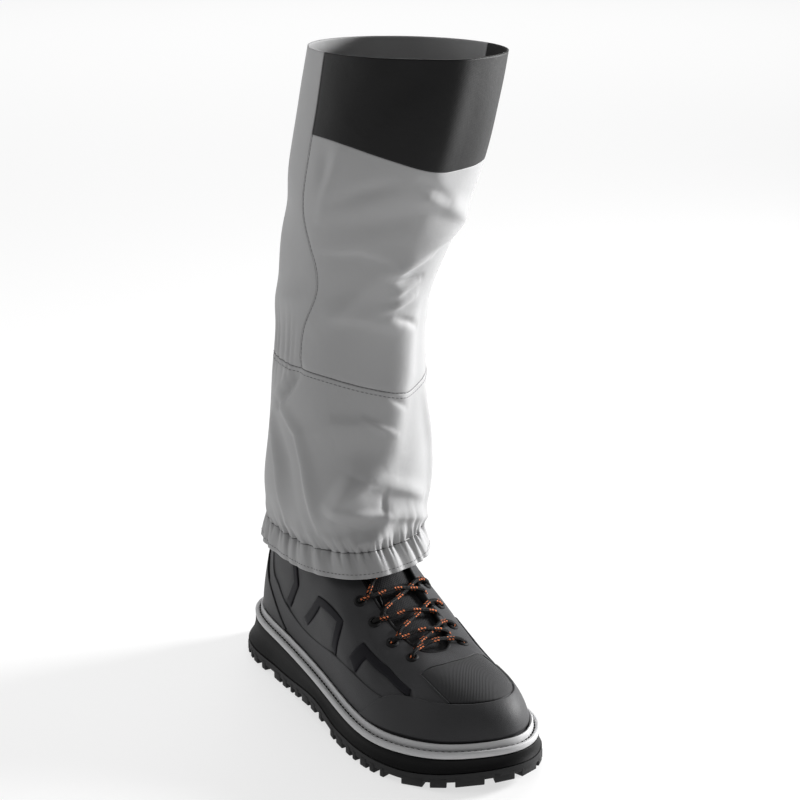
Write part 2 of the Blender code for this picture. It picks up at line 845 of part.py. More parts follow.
def make_lace():
    """The crossings of the lace and the bar below them, joined to one solid."""
    lace = cord("lace", strand_path("outer"))
    join(lace, cord("lace_other_strand", strand_path("inner")))
    start, end = strand_path("outer")[0], strand_path("inner")[0]
    between = [start + (end - start) * share for share in (0.2, 0.4, 0.6, 0.8)]
    join(lace, cord("lace_bar", np.array([start, *lift_clear(between), end])))
    return lace


def main():
    make_midsole()
    make_outsole()
    make_welt()
    make_insole()
    make_upper()
    make_toe_cap()
    make_heel_counter()
    make_tongue()
    for side in ("outer", "inner"):
        for number, row in enumerate(eyelet_rows(side), 1):
            make_eyelet(f"eyelet_{side}_{number}", row)
    make_hem_cuff()
    make_lower_leg()
    make_front_panel()
    make_knee_panel()
    make_back_panel()
    make_lace()


def centre_on_floor():
    """Moves the whole part so that the middle of its outline in plan is over the origin."""
    seen = bpy.context.evaluated_depsgraph_get()
    corners = []
    for made in ROOT.children:
        if not made.hide_render:
            shape = made.evaluated_get(seen)
            corners += [vert.co[:2] for vert in shape.to_mesh().vertices]
    corners = np.array(corners)
    middle = 0.5 * (corners.min(axis=0) + corners.max(axis=0))
    ROOT.location = (-middle[0], -middle[1], 0)


for old in list(bpy.data.objects):
    bpy.data.objects.remove(old)
ROOT = bpy.data.objects.new("wading_boot", None)
bpy.context.scene.collection.objects.link(ROOT)
main()
centre_on_floor()
bpy.context.view_layer.update()
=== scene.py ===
# %% [markdown]
# # A wading boot under the leg of a breathable wader
#
# This lesson dresses a plain model of a lace-up wading boot. The boot has a rubbery charcoal upper, a grey
# stitched welt and a lugged sole, and the hem of a grey wader leg hangs over its collar. The solids come in
# as a fixed frame, and each step below puts the visible piece in the place of its solid.

# %% Load the frame
import math
from typing import NamedTuple

import bmesh
import bpy
import numpy as np
from mathutils import Matrix, Vector, noise
from mathutils.bvhtree import BVHTree


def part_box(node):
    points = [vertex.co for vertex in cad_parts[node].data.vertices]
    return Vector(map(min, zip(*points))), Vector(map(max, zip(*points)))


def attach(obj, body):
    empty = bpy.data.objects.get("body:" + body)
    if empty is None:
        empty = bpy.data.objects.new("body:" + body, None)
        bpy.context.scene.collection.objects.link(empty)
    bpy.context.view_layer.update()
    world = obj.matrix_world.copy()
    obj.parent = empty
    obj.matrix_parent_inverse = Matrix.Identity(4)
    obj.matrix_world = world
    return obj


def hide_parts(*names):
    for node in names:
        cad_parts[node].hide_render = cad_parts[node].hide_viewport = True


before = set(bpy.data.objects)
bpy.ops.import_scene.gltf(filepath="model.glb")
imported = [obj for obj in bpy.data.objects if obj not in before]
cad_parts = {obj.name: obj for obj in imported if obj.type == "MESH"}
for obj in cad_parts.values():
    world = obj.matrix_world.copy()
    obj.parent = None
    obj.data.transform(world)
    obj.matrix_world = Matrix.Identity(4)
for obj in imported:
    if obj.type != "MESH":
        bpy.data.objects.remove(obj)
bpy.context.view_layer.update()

# %% [markdown]
# ## The camera
#
# The photograph looks down at the toe from the front and the outer side, through a long lens. The place
# below was worked out from the outline of the sole. Turning the camera to the middle of the boot and leg
# keeps the viewing angle and needs no lens shift.

# %% Set up the camera
CAMERA_PLACE = Vector((1.054, -0.700, 0.611))
CAMERA_TARGET = Vector((0.004, 0.003, 0.2310))
LENS_MM = 84.5
SENSOR_MM = 36.0


def turned_to(place, aim):
    """The turn of a camera or a lamp that stands at a place and faces an aim."""
    return (Vector(aim) - Vector(place)).to_track_quat("-Z", "Y")


camera_data = bpy.data.cameras.new("camera")
camera_data.lens = LENS_MM
camera_data.sensor_width = SENSOR_MM
camera = bpy.data.objects.new("camera", camera_data)
camera.location = CAMERA_PLACE
camera.rotation_mode = "QUATERNION"
camera.rotation_quaternion = turned_to(CAMERA_PLACE, CAMERA_TARGET)
bpy.context.scene.collection.objects.link(camera)
bpy.context.scene.camera = camera
print("camera distance:", round((CAMERA_TARGET - CAMERA_PLACE).length, 3))

# %% [markdown]
# ## Floor and studio light
#
# The boot stands in a white studio. A lamp to the right of the camera makes the inner side of the leg
# almost white, a weaker one behind it on the left draws a pale edge, a wide one above softens both, and one
# far behind keeps the backdrop white. A pale world fills the shadows.

# %% Hang the lamps
class Lamp(NamedTuple):
    """A square studio lamp and the point that it faces."""

    name: str
    place: tuple
    aim: tuple
    size: float
    power: float


LAMPS = (
    Lamp("lamp_right", (0.40, 1.61, 0.62), (0.0, 0.0, 0.24), 0.42, 60.0),
    Lamp("lamp_left", (-1.20, -0.95, 0.70), (0.0, 0.0, 0.24), 0.60, 5.4),
    Lamp("lamp_above", (0.60, -0.10, 2.40), (0.0, 0.0, 0.0), 1.60, 8.0),
    Lamp("lamp_backdrop", (-4.20, 2.80, 4.60), (-4.20, 2.80, 0.0), 5.00, 240.0),
)
WHITE = (1.0, 1.0, 1.0, 1.0)
WORLD_STRENGTH = 0.19

for lamp in LAMPS:
    light = bpy.data.lights.new(lamp.name, "AREA")
    light.size = lamp.size
    light.energy = lamp.power
    holder = bpy.data.objects.new(lamp.name, light)
    holder.location = lamp.place
    holder.rotation_mode = "QUATERNION"
    holder.rotation_quaternion = turned_to(lamp.place, lamp.aim)
    bpy.context.scene.collection.objects.link(holder)

world = bpy.data.worlds.new("studio")
world.use_nodes = True
sky = world.node_tree.nodes["Background"]
sky.inputs["Color"].default_value = WHITE
sky.inputs["Strength"].default_value = WORLD_STRENGTH
bpy.context.scene.world = world
bpy.context.scene.view_settings.view_transform = "Standard"
print("lamps:", [lamp.name for lamp in LAMPS])

# %% [markdown]
# The floor is a light table: a faint glow of its own keeps it evenly pale and the shadows on it soft. A plain
# grey floor would need far more light from above, which would flatten the boot.

# %% Lay the floor
FLOOR_REACH = 12.0
FLOOR_TONE = (0.30, 0.30, 0.30, 1.0)
FLOOR_ROUGHNESS = 0.9
FLOOR_GLOW = 0.66

floor_bm = bmesh.new()
bmesh.ops.create_grid(floor_bm, x_segments=1, y_segments=1, size=FLOOR_REACH)
floor_mesh = bpy.data.meshes.new("floor")
floor_bm.to_mesh(floor_mesh)
floor_bm.free()
floor_look = bpy.data.materials.new("floor_paper")
floor_look.use_nodes = True
floor_shader = floor_look.node_tree.nodes["Principled BSDF"]
floor_shader.inputs["Base Color"].default_value = FLOOR_TONE
floor_shader.inputs["Roughness"].default_value = FLOOR_ROUGHNESS
floor_shader.inputs["Emission Color"].default_value = WHITE
floor_shader.inputs["Emission Strength"].default_value = FLOOR_GLOW
floor_mesh.materials.append(floor_look)
floor = bpy.data.objects.new("floor", floor_mesh)
bpy.context.scene.collection.objects.link(floor)
print("floor reaches", FLOOR_REACH, "m")

# %% [markdown]
# ## The shape of the last
#
# A shoemaker shapes an upper over a last, a foot-shaped block. Here the last is a short table: eleven
# stations from heel to toe, each with its place on the outline of the sole, its place on the top edge, and
# how full the wall is in between. A smooth closed curve through each column gives the whole foot, so any
# point of the upper has an address: a row round the foot (0 at the heel, 10 at the toe, 20 at the heel
# again) and a level from the sole to the top edge.

# %% Make curves through tables
LENGTH = 0.318
BALL_WIDTH = 0.122
COLLAR_HEIGHT = 0.150
FEATHER_INSET = 0.0096
HEEL_FLARE = 0.0060
HEEL_FLARE_REACH = 0.075
GAP = 0.0004


class Section(NamedTuple):
    """A station of the last: its place on the outline, its top edge and the fullness of the wall between."""

    along: float  # share of LENGTH from the heel
    outer: float  # share of BALL_WIDTH towards the outer side
    inner: float  # share of BALL_WIDTH towards the inner side
    top_along: float  # share of LENGTH
    top_across: float  # share of BALL_WIDTH to either side
    top_height: float  # share of COLLAR_HEIGHT
    rise: float  # metres that the wall rises before it turns in
    lean: float  # metres that it leans outwards there
    drop: float  # metres below the top edge where the wall starts to turn
    spread: float  # metres that it stands out there


SECTIONS = (
    Section(0.019, 0.000, 0.000, 0.128, 0.000, 0.967, 0.034, 0.0020, 0.034, -0.0040),
    Section(0.046, 0.190, 0.200, 0.140, 0.135, 0.967, 0.034, 0.0018, 0.034, -0.0035),
    Section(0.130, 0.314, 0.316, 0.192, 0.240, 0.953, 0.034, 0.0015, 0.036, -0.0020),
    Section(0.252, 0.364, 0.328, 0.277, 0.285, 0.933, 0.034, 0.0020, 0.040, 0.0000),
    Section(0.393, 0.412, 0.328, 0.371, 0.250, 0.945, 0.034, 0.0030, 0.034, 0.0070),
    Section(0.535, 0.472, 0.369, 0.440, 0.190, 0.835, 0.034, 0.0035, 0.018, 0.0170),
    Section(0.667, 0.525, 0.439, 0.535, 0.165, 0.672, 0.029, 0.0030, 0.009, 0.0220),
    Section(0.780, 0.525, 0.455, 0.635, 0.152, 0.540, 0.024, 0.0018, 0.006, 0.0215),
    Section(0.880, 0.434, 0.414, 0.701, 0.118, 0.478, 0.026, 0.0008, 0.005, 0.0220),
    Section(0.957, 0.254, 0.286, 0.728, 0.066, 0.462, 0.033, 0.0008, 0.003, 0.0330),
    Section(1.002, -0.050, 0.050, 0.735, -0.016, 0.457, 0.036, 0.0010, 0.002, 0.0430),
)
TOE_ROW = len(SECTIONS) - 1
LOOP_ROWS = 2 * TOE_ROW


def cubic(knots, values, period=0.0):
    """A smooth curve through rows of values at the knots, with free ends, or closed after a period."""
    knots = np.asarray(knots, float)
    values = np.asarray(values, float).reshape(len(knots), -1)
    if period:
        knots = np.append(knots, knots[0] + period)
        values = np.vstack([values, values[:1]])
    count = len(knots)
    step = np.diff(knots)
    slope = np.diff(values, axis=0) / step[:, None]
    matrix = np.eye(count)
    target = np.zeros_like(values)
    for i in range(1, count - 1):
        matrix[i, i - 1 : i + 2] = step[i - 1], 2 * (step[i - 1] + step[i]), step[i]
        target[i] = 6 * (slope[i] - slope[i - 1])
    if period:
        matrix[0, 0] = 2 * (step[-1] + step[0])
        matrix[0, 1] = step[0]
        matrix[0, count - 2] = step[-1]
        target[0] = 6 * (slope[0] - slope[-1])
        matrix[-1, 0] = -1
    bend = np.linalg.solve(matrix, target)

    def at(place):
        place = np.atleast_1d(np.asarray(place, float))
        if period:
            place = knots[0] + np.mod(place - knots[0], period)
        i = np.clip(np.searchsorted(knots, place, side="right") - 1, 0, count - 2)
        before = ((knots[i + 1] - place) / step[i])[:, None]
        after = 1 - before
        curl = (before**3 - before) * bend[i] + (after**3 - after) * bend[i + 1]
        return before * values[i] + after * values[i + 1] + curl * (step[i] ** 2 / 6)[:, None]

    return at


def around_the_foot(pick):
    """A closed curve over the rows: heel, outer side, toe and back along the inner side."""
    outer = [pick(row, -1) for row in SECTIONS]
    inner = [pick(row, 1) for row in SECTIONS[TOE_ROW - 1 : 0 : -1]]
    return cubic(np.arange(LOOP_ROWS), outer + inner, LOOP_ROWS)


OUTLINE = around_the_foot(
    lambda row, side: (row.along * LENGTH, side * (row.inner if side > 0 else row.outer) * BALL_WIDTH)
)
TOP_EDGE = around_the_foot(
    lambda row, side: (
        row.top_along * LENGTH,
        side * row.top_across * BALL_WIDTH,
        row.top_height * COLLAR_HEIGHT,
    )
)
FULLNESS = around_the_foot(lambda row, side: (row.rise, row.lean, row.drop, row.spread))
print("stations of the last:", len(SECTIONS))

# %% [markdown]
# The sole rises at the arch and the toe, and its layers follow that line. The helpers below walk round the
# outline, step in from it, and read the height of a layer at a place along the foot.

# %% Walk round the sole and the upper
class Profile(NamedTuple):
    """Heights of the sole's layers at a place along it."""

    along: float  # share of LENGTH from the heel
    tread: float  # metres from the floor to the tread's face
    midsole: float  # metres from the floor to the top of the midsole


PROFILES = (
    Profile(-0.03, 0.0010, 0.0310),
    Profile(0.06, 0.0000, 0.0306),
    Profile(0.25, 0.0000, 0.0288),
    Profile(0.36, 0.0018, 0.0270),
    Profile(0.50, 0.0048, 0.0246),
    Profile(0.60, 0.0000, 0.0220),
    Profile(0.74, 0.0000, 0.0198),
    Profile(0.84, 0.0000, 0.0207),
    Profile(0.92, 0.0026, 0.0225),
    Profile(1.02, 0.0085, 0.0264),
)
SOLE_HEIGHTS = cubic(
    [row.along * LENGTH for row in PROFILES], [(row.tread, row.midsole) for row in PROFILES]
)


def tread_height(x):
    return np.maximum(SOLE_HEIGHTS(x)[:, 0], 0)


def midsole_height(x):
    return SOLE_HEIGHTS(x)[:, 1]


def above_midsole(height):
    return lambda x: midsole_height(x) + height


def outward(row):
    """Unit vectors that point out of the outline, level with the floor."""
    small = 0.01
    run = OUTLINE(np.asarray(row) + small) - OUTLINE(np.asarray(row) - small)
    normal = np.column_stack([run[:, 1], -run[:, 0], np.zeros(len(run))])
    return normal / np.linalg.norm(normal, axis=1)[:, None]


def layer(row, inset, height_of):
    """A closed loop of points on a level of the sole, moved in from the outline."""
    plan = OUTLINE(row) - outward(row)[:, :2] * np.reshape(inset, (-1, 1))
    return np.column_stack([plan, height_of(plan[:, 0])])


def heel_flare(row):
    """How far the foot of the sole stands out behind the heel."""
    return HEEL_FLARE * np.clip(1 - OUTLINE(row)[:, 0] / HEEL_FLARE_REACH, 0, 1)


def upper_point(row, level, lift=0.0):
    """Points on the outside of the upper, moved out by lift."""
    row = np.atleast_1d(np.asarray(row, float))
    level = np.broadcast_to(np.asarray(level, float), row.shape)
    foot = layer(row, FEATHER_INSET, above_midsole(GAP))
    top = TOP_EDGE(row)
    rise, lean, drop, spread = FULLNESS(row).T
    out = outward(row)
    up = np.array([0.0, 0.0, 1.0])
    low_handle = foot + out * lean[:, None] + up * rise[:, None]
    high_handle = top + out * spread[:, None] - up * drop[:, None]
    t = level[:, None]
    s = 1 - t
    point = s**3 * foot + 3 * s**2 * t * low_handle + 3 * s * t**2 * high_handle + t**3 * top
    if np.any(lift):
        point = point + upper_normal(row, level) * np.reshape(lift, (-1, 1))
    return point


def upper_normal(row, level):
    """Unit vectors that point out of the upper."""
    small = 0.004
    low = np.clip(level - small, 0, 1)
    high = np.clip(level + small, 0, 1)
    run = upper_point(row + small, level) - upper_point(row - small, level)
    climb = upper_point(row, high) - upper_point(row, low)
    normal = np.cross(run, climb)
    return normal / np.linalg.norm(normal, axis=1)[:, None]


def level_at_height(row, height):
    """The level at which the upper's wall is this far above the midsole."""
    levels = np.linspace(0, 0.5, 51)
    tried_rows = np.linspace(0, LOOP_ROWS, 241)
    found = []
    for tried in tried_rows:
        wall = upper_point(np.full(len(levels), tried), levels)
        found.append(np.interp(height, wall[:, 2] - wall[0, 2], levels))
    return np.interp(np.mod(np.atleast_1d(row), LOOP_ROWS), tried_rows, found)


WELT_INNER = 0.0018
STATIONS_IN_SOURCE = 60
welt_rows = np.arange(STATIONS_IN_SOURCE) * LOOP_ROWS / STATIONS_IN_SOURCE
welt_plan = layer(welt_rows, WELT_INNER, midsole_height)
welt_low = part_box("welt")[0]
BOOT_TO_FRAME = Vector((welt_low.x - welt_plan[:, 0].min(), welt_low.y - welt_plan[:, 1].min(), 0.0))
print("boot to frame:", [round(x, 5) for x in BOOT_TO_FRAME])

# %% [markdown]
# ## Two ways to lay a surface, and one way to finish a piece
#
# Most pieces here are cloth or rubber sheets, so a flat grid is made and each of its points is moved to its
# place on the boot. Soles and cords are lofts: a circle whose edge loop is extruded again and again, each
# new loop moved to its own place. Both keep a clean grid of quads, which subdivides and bends well.

# %% Write the modelling helpers
SAME_POINT = 1e-6


def laid_grid(place, columns, rows, size, wrap=False):
    """A grid laid on a surface: place takes shares across and up. The UV map is in metres, of this size."""
    bm = bmesh.new()
    bmesh.ops.create_grid(bm, x_segments=columns, y_segments=rows, size=0.5)
    shares = np.array([vert.co[:2] for vert in bm.verts]) + 0.5
    cloth = bm.loops.layers.uv.new("cloth")
    for face in bm.faces:
        for corner in face.loops:
            across, up = shares[corner.vert.index]
            corner[cloth].uv = (across * size[0], up * size[1])
    for vert, point in zip(bm.verts, place(shares[:, 0], shares[:, 1])):
        vert.co = point
    if wrap:
        bmesh.ops.remove_doubles(bm, verts=bm.verts, dist=SAME_POINT)
    return bm


def next_loop(bm, verts, points):
    """Extrudes a closed loop of vertices and moves the new loop to its points."""
    edges = [bm.edges.get((a, b)) for a, b in zip(verts, verts[1:] + verts[:1])]
    made = bmesh.ops.extrude_edge_only(bm, edges=edges)["geom"]
    fresh = {item for item in made if isinstance(item, bmesh.types.BMVert)}
    loop = []
    for vert, point in zip(verts, points):
        twin = next(edge.other_vert(vert) for edge in vert.link_edges if edge.other_vert(vert) in fresh)
        twin.co = point
        loop.append(twin)
    return loop


def close_end(bm, verts):
    """Closes a loop with straight rungs from one half to the other."""
    half = len(verts) // 2
    first = [bm.edges.get((a, b)) for a, b in zip(verts[1 : half - 1], verts[2:half])]
    second = [bm.edges.get((a, b)) for a, b in zip(verts[half + 1 : -1], verts[half + 2 :])]
    bmesh.ops.bridge_loops(bm, edges=first + second)
    bmesh.ops.contextual_create(bm, geom=[verts[0], verts[1], verts[-1]])
    bmesh.ops.contextual_create(bm, geom=[verts[half - 1], verts[half], verts[half + 1]])


def lofted(loops, ends="closed"):
    """A loft through closed loops of points, with closed ends or with its last loop joined to its first."""
    bm = bmesh.new()
    bmesh.ops.create_circle(bm, segments=len(loops[0]), radius=1.0)
    first = bm.verts[:]
    for vert, point in zip(first, loops[0]):
        vert.co = point
    rings = [first]
    for points in loops[1:]:
        rings.append(next_loop(bm, rings[-1], points))
    if ends == "joined":
        edges = [
            bm.edges.get((a, b)) for ring in (rings[0], rings[-1]) for a, b in zip(ring, ring[1:] + ring[:1])
        ]
        bmesh.ops.bridge_loops(bm, edges=edges)
    else:
        close_end(bm, rings[0])
        close_end(bm, rings[-1])
    bmesh.ops.recalc_face_normals(bm, faces=bm.faces)
    return bm


def finish_piece(name, bm, look, stands_for=(), wall=0.0, sharp_deg=None):
    """Makes an object of a bmesh, in the frame's place, that rides on the boot."""
    bmesh.ops.translate(bm, verts=bm.verts, vec=BOOT_TO_FRAME)
    mesh = bpy.data.meshes.new(name)
    bm.to_mesh(mesh)
    bm.free()
    mesh.materials.append(look)
    mesh.shade_smooth()
    if sharp_deg:
        mesh.set_sharp_from_angle(angle=math.radians(sharp_deg))
    piece = bpy.data.objects.new(name, mesh)
    bpy.context.scene.collection.objects.link(piece)
    if wall:
        thick = piece.modifiers.new("wall", "SOLIDIFY")
        thick.thickness = wall
        thick.offset = -1
        thick.use_even_offset = False
    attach(piece, "root")
    if stands_for:
        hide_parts(*stands_for)
    print("made", name, "with", len(mesh.polygons), "faces")
    return piece


print("ways to lay a surface:", laid_grid.__name__, lofted.__name__)

# %% [markdown]
# ## Shared effects as node groups
#
# Cloth, rubber and foam share three effects: threads that cross, a fine moulded grain and a slow drift of
# tone. Each is a node group with named sockets, so every material places it with its own sizes.

# %% Write the node helpers
def feed(tree, socket, value):
    """Links a socket to an input, or sets the input to a number or a colour."""
    if isinstance(value, bpy.types.NodeSocket):
        tree.links.new(value, socket)
    else:
        socket.default_value = value


def new_group(name, inputs, outputs):
    """A shader node group with float, colour or vector sockets."""
    group = bpy.data.node_groups.new(name, "ShaderNodeTree")
    kinds = {"value": "NodeSocketFloat", "colour": "NodeSocketColor", "vector": "NodeSocketVector"}
    for label, kind, default in inputs:
        socket = group.interface.new_socket(label, in_out="INPUT", socket_type=kinds[kind])
        if default is not None:
            socket.default_value = default
    for label, kind in outputs:
        group.interface.new_socket(label, in_out="OUTPUT", socket_type=kinds[kind])
    return group, group.nodes.new("NodeGroupInput"), group.nodes.new("NodeGroupOutput")


def math_node(tree, operation, first, second=None, clamp=False):
    """A Math node with sockets or numbers as inputs; gives its output socket."""
    node = tree.nodes.new("ShaderNodeMath")
    node.operation = operation
    node.use_clamp = clamp
    for socket, value in zip(node.inputs, (first, second)):
        if value is not None:
            feed(tree, socket, value)
    return node.outputs[0]


def noise_node(tree, vector, scale, detail, roughness):
    """A Noise texture on a vector; gives its value."""
    node = tree.nodes.new("ShaderNodeTexNoise")
    tree.links.new(vector, node.inputs["Vector"])
    for label, value in (("Scale", scale), ("Detail", detail), ("Roughness", roughness)):
        feed(tree, node.inputs[label], value)
    return node.outputs["Fac"]


def place_group(tree, group, **values):
    """Places a node group in a tree with its own values; gives the node."""
    node = tree.nodes.new("ShaderNodeGroup")
    node.node_tree = group
    for label, value in values.items():
        feed(tree, node.inputs[label.replace("_", " ")], value)
    return node


def mixed_colours(tree, factor, first, second):
    """A Mix node between two colours; gives its colour."""
    node = tree.nodes.new("ShaderNodeMix")
    node.data_type = "RGBA"
    node.inputs["A"].default_value = (*first, 1.0)
    node.inputs["B"].default_value = (*second, 1.0)
    tree.links.new(factor, node.inputs["Factor"])
    return node.outputs["Result"]


print("node helpers:", [helper.__name__ for helper in (math_node, noise_node, place_group, mixed_colours)])

# %% [markdown]
# Woven cloth shows warp and weft. Two sine waves, one along each direction of the UV map, are multiplied to a
# small checker of bumps. A picture of cloth would do as well, but a formula stays sharp at any distance.

# %% Threads that cross
THREADS, threads_in, threads_out = new_group(
    "crossing_threads",
    [("Vector", "vector", None), ("Threads per metre", "value", 2000.0)],
    [("Height", "value")],
)
split = THREADS.nodes.new("ShaderNodeSeparateXYZ")
THREADS.links.new(threads_in.outputs["Vector"], split.inputs[0])
turns = math_node(THREADS, "MULTIPLY", threads_in.outputs["Threads per metre"], math.pi)
warp = math_node(THREADS, "SINE", math_node(THREADS, "MULTIPLY", split.outputs["X"], turns))
weft = math_node(THREADS, "SINE", math_node(THREADS, "MULTIPLY", split.outputs["Y"], turns))
THREADS.links.new(
    math_node(THREADS, "MULTIPLY_ADD", math_node(THREADS, "MULTIPLY", warp, weft), 0.5),
    threads_out.inputs["Height"],
)
print("group:", THREADS.name)

# %% [markdown]
# Moulded rubber is never quite smooth, because the mould leaves a fine grain on it. One noise texture gives
# its height.

# %% A fine moulded grain
GRAIN, grain_in, grain_out = new_group(
    "moulded_grain",
    [("Vector", "vector", None), ("Scale", "value", 900.0)],
    [("Height", "value")],
)
fine = noise_node(GRAIN, grain_in.outputs["Vector"], grain_in.outputs["Scale"], 3.0, 0.6)
GRAIN.links.new(fine, grain_out.inputs["Height"])
print("group:", GRAIN.name)

# %% [markdown]
# Large surfaces drift a little in tone and gloss. Slow noise moves both together, so that no panel looks like
# flat paint.

# %% A slow drift of tone
TONE, tone_in, tone_out = new_group(
    "drift_of_tone",
    [
        ("Vector", "vector", None),
        ("Colour", "colour", None),
        ("Scale", "value", 20.0),
        ("Amount", "value", 0.2),
        ("Roughness", "value", 0.6),
    ],
    [("Colour", "colour"), ("Roughness", "value")],
)
drift = noise_node(TONE, tone_in.outputs["Vector"], tone_in.outputs["Scale"], 4.0, 0.55)
swing = math_node(TONE, "MULTIPLY", math_node(TONE, "SUBTRACT", drift, 0.5), tone_in.outputs["Amount"])
gain = math_node(TONE, "ADD", swing, 1.0)
scaled = TONE.nodes.new("ShaderNodeVectorMath")
scaled.operation = "SCALE"
TONE.links.new(tone_in.outputs["Colour"], scaled.inputs[0])
TONE.links.new(gain, scaled.inputs["Scale"])
TONE.links.new(scaled.outputs["Vector"], tone_out.inputs["Colour"])
rougher = math_node(TONE, "ADD", tone_in.outputs["Roughness"], math_node(TONE, "MULTIPLY", swing, 0.5), True)
TONE.links.new(rougher, tone_out.inputs["Roughness"])
print("group:", TONE.name)

# %% [markdown]
# ## The materials
#
# A finish starts as a Principled shader. The tone group drives its colour and roughness, and a bump node
# takes its height from threads or grain. Cloth reads the UV map, which is in metres, so threads follow the
# panels; rubber reads object coordinates, so the grain runs on over the edges.

# %% Write the material helpers
SHEEN_ROUGHNESS = 0.5


def new_look(name, specular, sheen=0.0):
    """An empty material; gives the material, its tree and its shader."""
    look = bpy.data.materials.new(name)
    look.use_nodes = True
    shader = look.node_tree.nodes["Principled BSDF"]
    shader.inputs["Specular IOR Level"].default_value = specular
    if sheen:
        shader.inputs["Sheen Weight"].default_value = sheen
        shader.inputs["Sheen Roughness"].default_value = SHEEN_ROUGHNESS
    return look, look.node_tree, shader


def surface_vector(tree, kind):
    """The coordinates that a pattern reads: the piece's own UV map or its object coordinates."""
    if kind == "cloth":
        node = tree.nodes.new("ShaderNodeUVMap")
        node.uv_map = "cloth"
        return node.outputs["UV"]
    return tree.nodes.new("ShaderNodeTexCoord").outputs["Object"]


def bump(tree, shader, height, strength, distance, under=None):
    """A Bump node from a height to the shader; may stand on another bump."""
    node = tree.nodes.new("ShaderNodeBump")
    node.inputs["Strength"].default_value = strength
    node.inputs["Distance"].default_value = distance
    tree.links.new(height, node.inputs["Height"])
    if under is not None:
        tree.links.new(under, node.inputs["Normal"])
    tree.links.new(node.outputs["Normal"], shader.inputs["Normal"])
    return node.outputs["Normal"]


def toned(tree, shader, vector, colour, roughness, scale, amount):
    """Puts the drift of tone on a shader."""
    node = place_group(
        tree, TONE, Vector=vector, Colour=(*colour, 1.0), Scale=scale, Amount=amount, Roughness=roughness
    )
    tree.links.new(node.outputs["Colour"], shader.inputs["Base Color"])
    tree.links.new(node.outputs["Roughness"], shader.inputs["Roughness"])


RUBBER_DRIFT = 35.0
GRAIN_STRENGTH = 0.5
CLOTH_DRIFT = 14.0
CLOTH_AMOUNT = 0.12
CRUMPLE_SCALE = 120.0
CRUMPLE_STRENGTH = 0.35
CRUMPLE_DEPTH = 0.0006
WEAVE_STRENGTH = 0.4


def rubber_look(name, colour, roughness, grain, depth, specular=0.25, amount=0.25):
    """Moulded rubber: a drift of tone and a fine grain of this scale and of this depth in metres."""
    look, tree, shader = new_look(name, specular)
    vector = surface_vector(tree, "object")
    toned(tree, shader, vector, colour, roughness, RUBBER_DRIFT, amount)
    height = place_group(tree, GRAIN, Vector=vector, Scale=grain).outputs["Height"]
    bump(tree, shader, height, GRAIN_STRENGTH, depth)
    return look


def cloth_look(name, colour, roughness, threads, depth, specular=0.3, sheen=0.1):
    """Woven cloth: threads that cross, so many to the metre and so deep, over faint crumples."""
    look, tree, shader = new_look(name, specular, sheen)
    vector = surface_vector(tree, "cloth")
    toned(tree, shader, vector, colour, roughness, CLOTH_DRIFT, CLOTH_AMOUNT)
    crumple_height = noise_node(tree, vector, CRUMPLE_SCALE, 3.0, 0.6)
    crumple = bump(tree, shader, crumple_height, CRUMPLE_STRENGTH, CRUMPLE_DEPTH)
    weave = place_group(tree, THREADS, Vector=vector, Threads_per_metre=threads).outputs["Height"]
    bump(tree, shader, weave, WEAVE_STRENGTH, depth, crumple)
    return look


print("recipes:", rubber_look.__name__, cloth_look.__name__)

# %% [markdown]
# Two recipes give most finishes. After the colour, the numbers for rubber, foam and thread are roughness,
# the scale and the depth of the grain, the strength of the highlight and the drift of tone. For cloth they
# are roughness, the threads in a metre and their depth, the highlight and the sheen.

# %% Mix the finishes
TREAD_RUBBER = rubber_look("tread_rubber_finish", (0.019, 0.019, 0.0196), 0.72, 1400.0, 0.0004)
BLACK_RUBBER = rubber_look("black_rubber_finish", (0.006, 0.006, 0.0062), 0.55, 1100.0, 0.0002, 0.08)
GREY_WELT = rubber_look("grey_welt_finish", (0.48, 0.48, 0.485), 0.55, 1200.0, 0.0002, 0.3, 0.15)
CHARCOAL = rubber_look("charcoal_upper_finish", (0.036, 0.036, 0.0384), 0.58, 1500.0, 0.0004, 0.28, 0.22)
CAP_RUBBER = rubber_look("moulded_cap_finish", (0.036, 0.036, 0.038), 0.54, 1700.0, 0.0003, 0.24, 0.18)
INSET_FILM = rubber_look("dark_inset_finish", (0.0120, 0.0118, 0.0145), 0.60, 800.0, 0.0001, 0.10)
PIPING = rubber_look("piping_finish", (0.010, 0.010, 0.0105), 0.60, 1500.0, 0.0002, 0.12)
FOAM = rubber_look("insole_foam_finish", (0.060, 0.060, 0.062), 0.90, 700.0, 0.0005, 0.1)
GREY_CLOTH = cloth_look("grey_cloth_finish", (0.350, 0.350, 0.353), 0.60, 2600.0, 0.00012)
BLACK_CLOTH = cloth_look("black_cloth_finish", (0.006, 0.006, 0.0063), 0.56, 1800.0, 0.0002, 0.20, 0.04)
TONGUE_CLOTH = cloth_look("tongue_cloth_finish", (0.010, 0.010, 0.0115), 0.75, 900.0, 0.0004, 0.2, 0.05)
DARK_THREAD = rubber_look("dark_thread_finish", (0.020, 0.020, 0.020), 0.75, 4000.0, 0.0001, 0.2)
SEAM_THREAD = rubber_look("seam_thread_finish", (0.080, 0.080, 0.080), 0.75, 4000.0, 0.0001, 0.2)
print("finishes:", len([m for m in bpy.data.materials if m.name.endswith("_finish")]))

# %% [markdown]
# The panel over the toes is a ribbed textile: fine raised lines that run down to the toe. A wave of the
# cloth's own UV map draws them, once as height and once as painted shade: the tone is darker at the foot
# of each rib, where shade falls, and lighter on its crest.

# %% Mix the ribbed textile
RIB_TURN_DEG = 38
RIB_SCALE = 280.0
RIB_DISTORTION = 0.6
# painted shade: the ribs' feet get the darker tone, where shade falls between them, and their crests the lit
# one
RIB_FOOT_SHADE = (0.021, 0.021, 0.022)
RIB_CREST_LIT = (0.031, 0.031, 0.033)


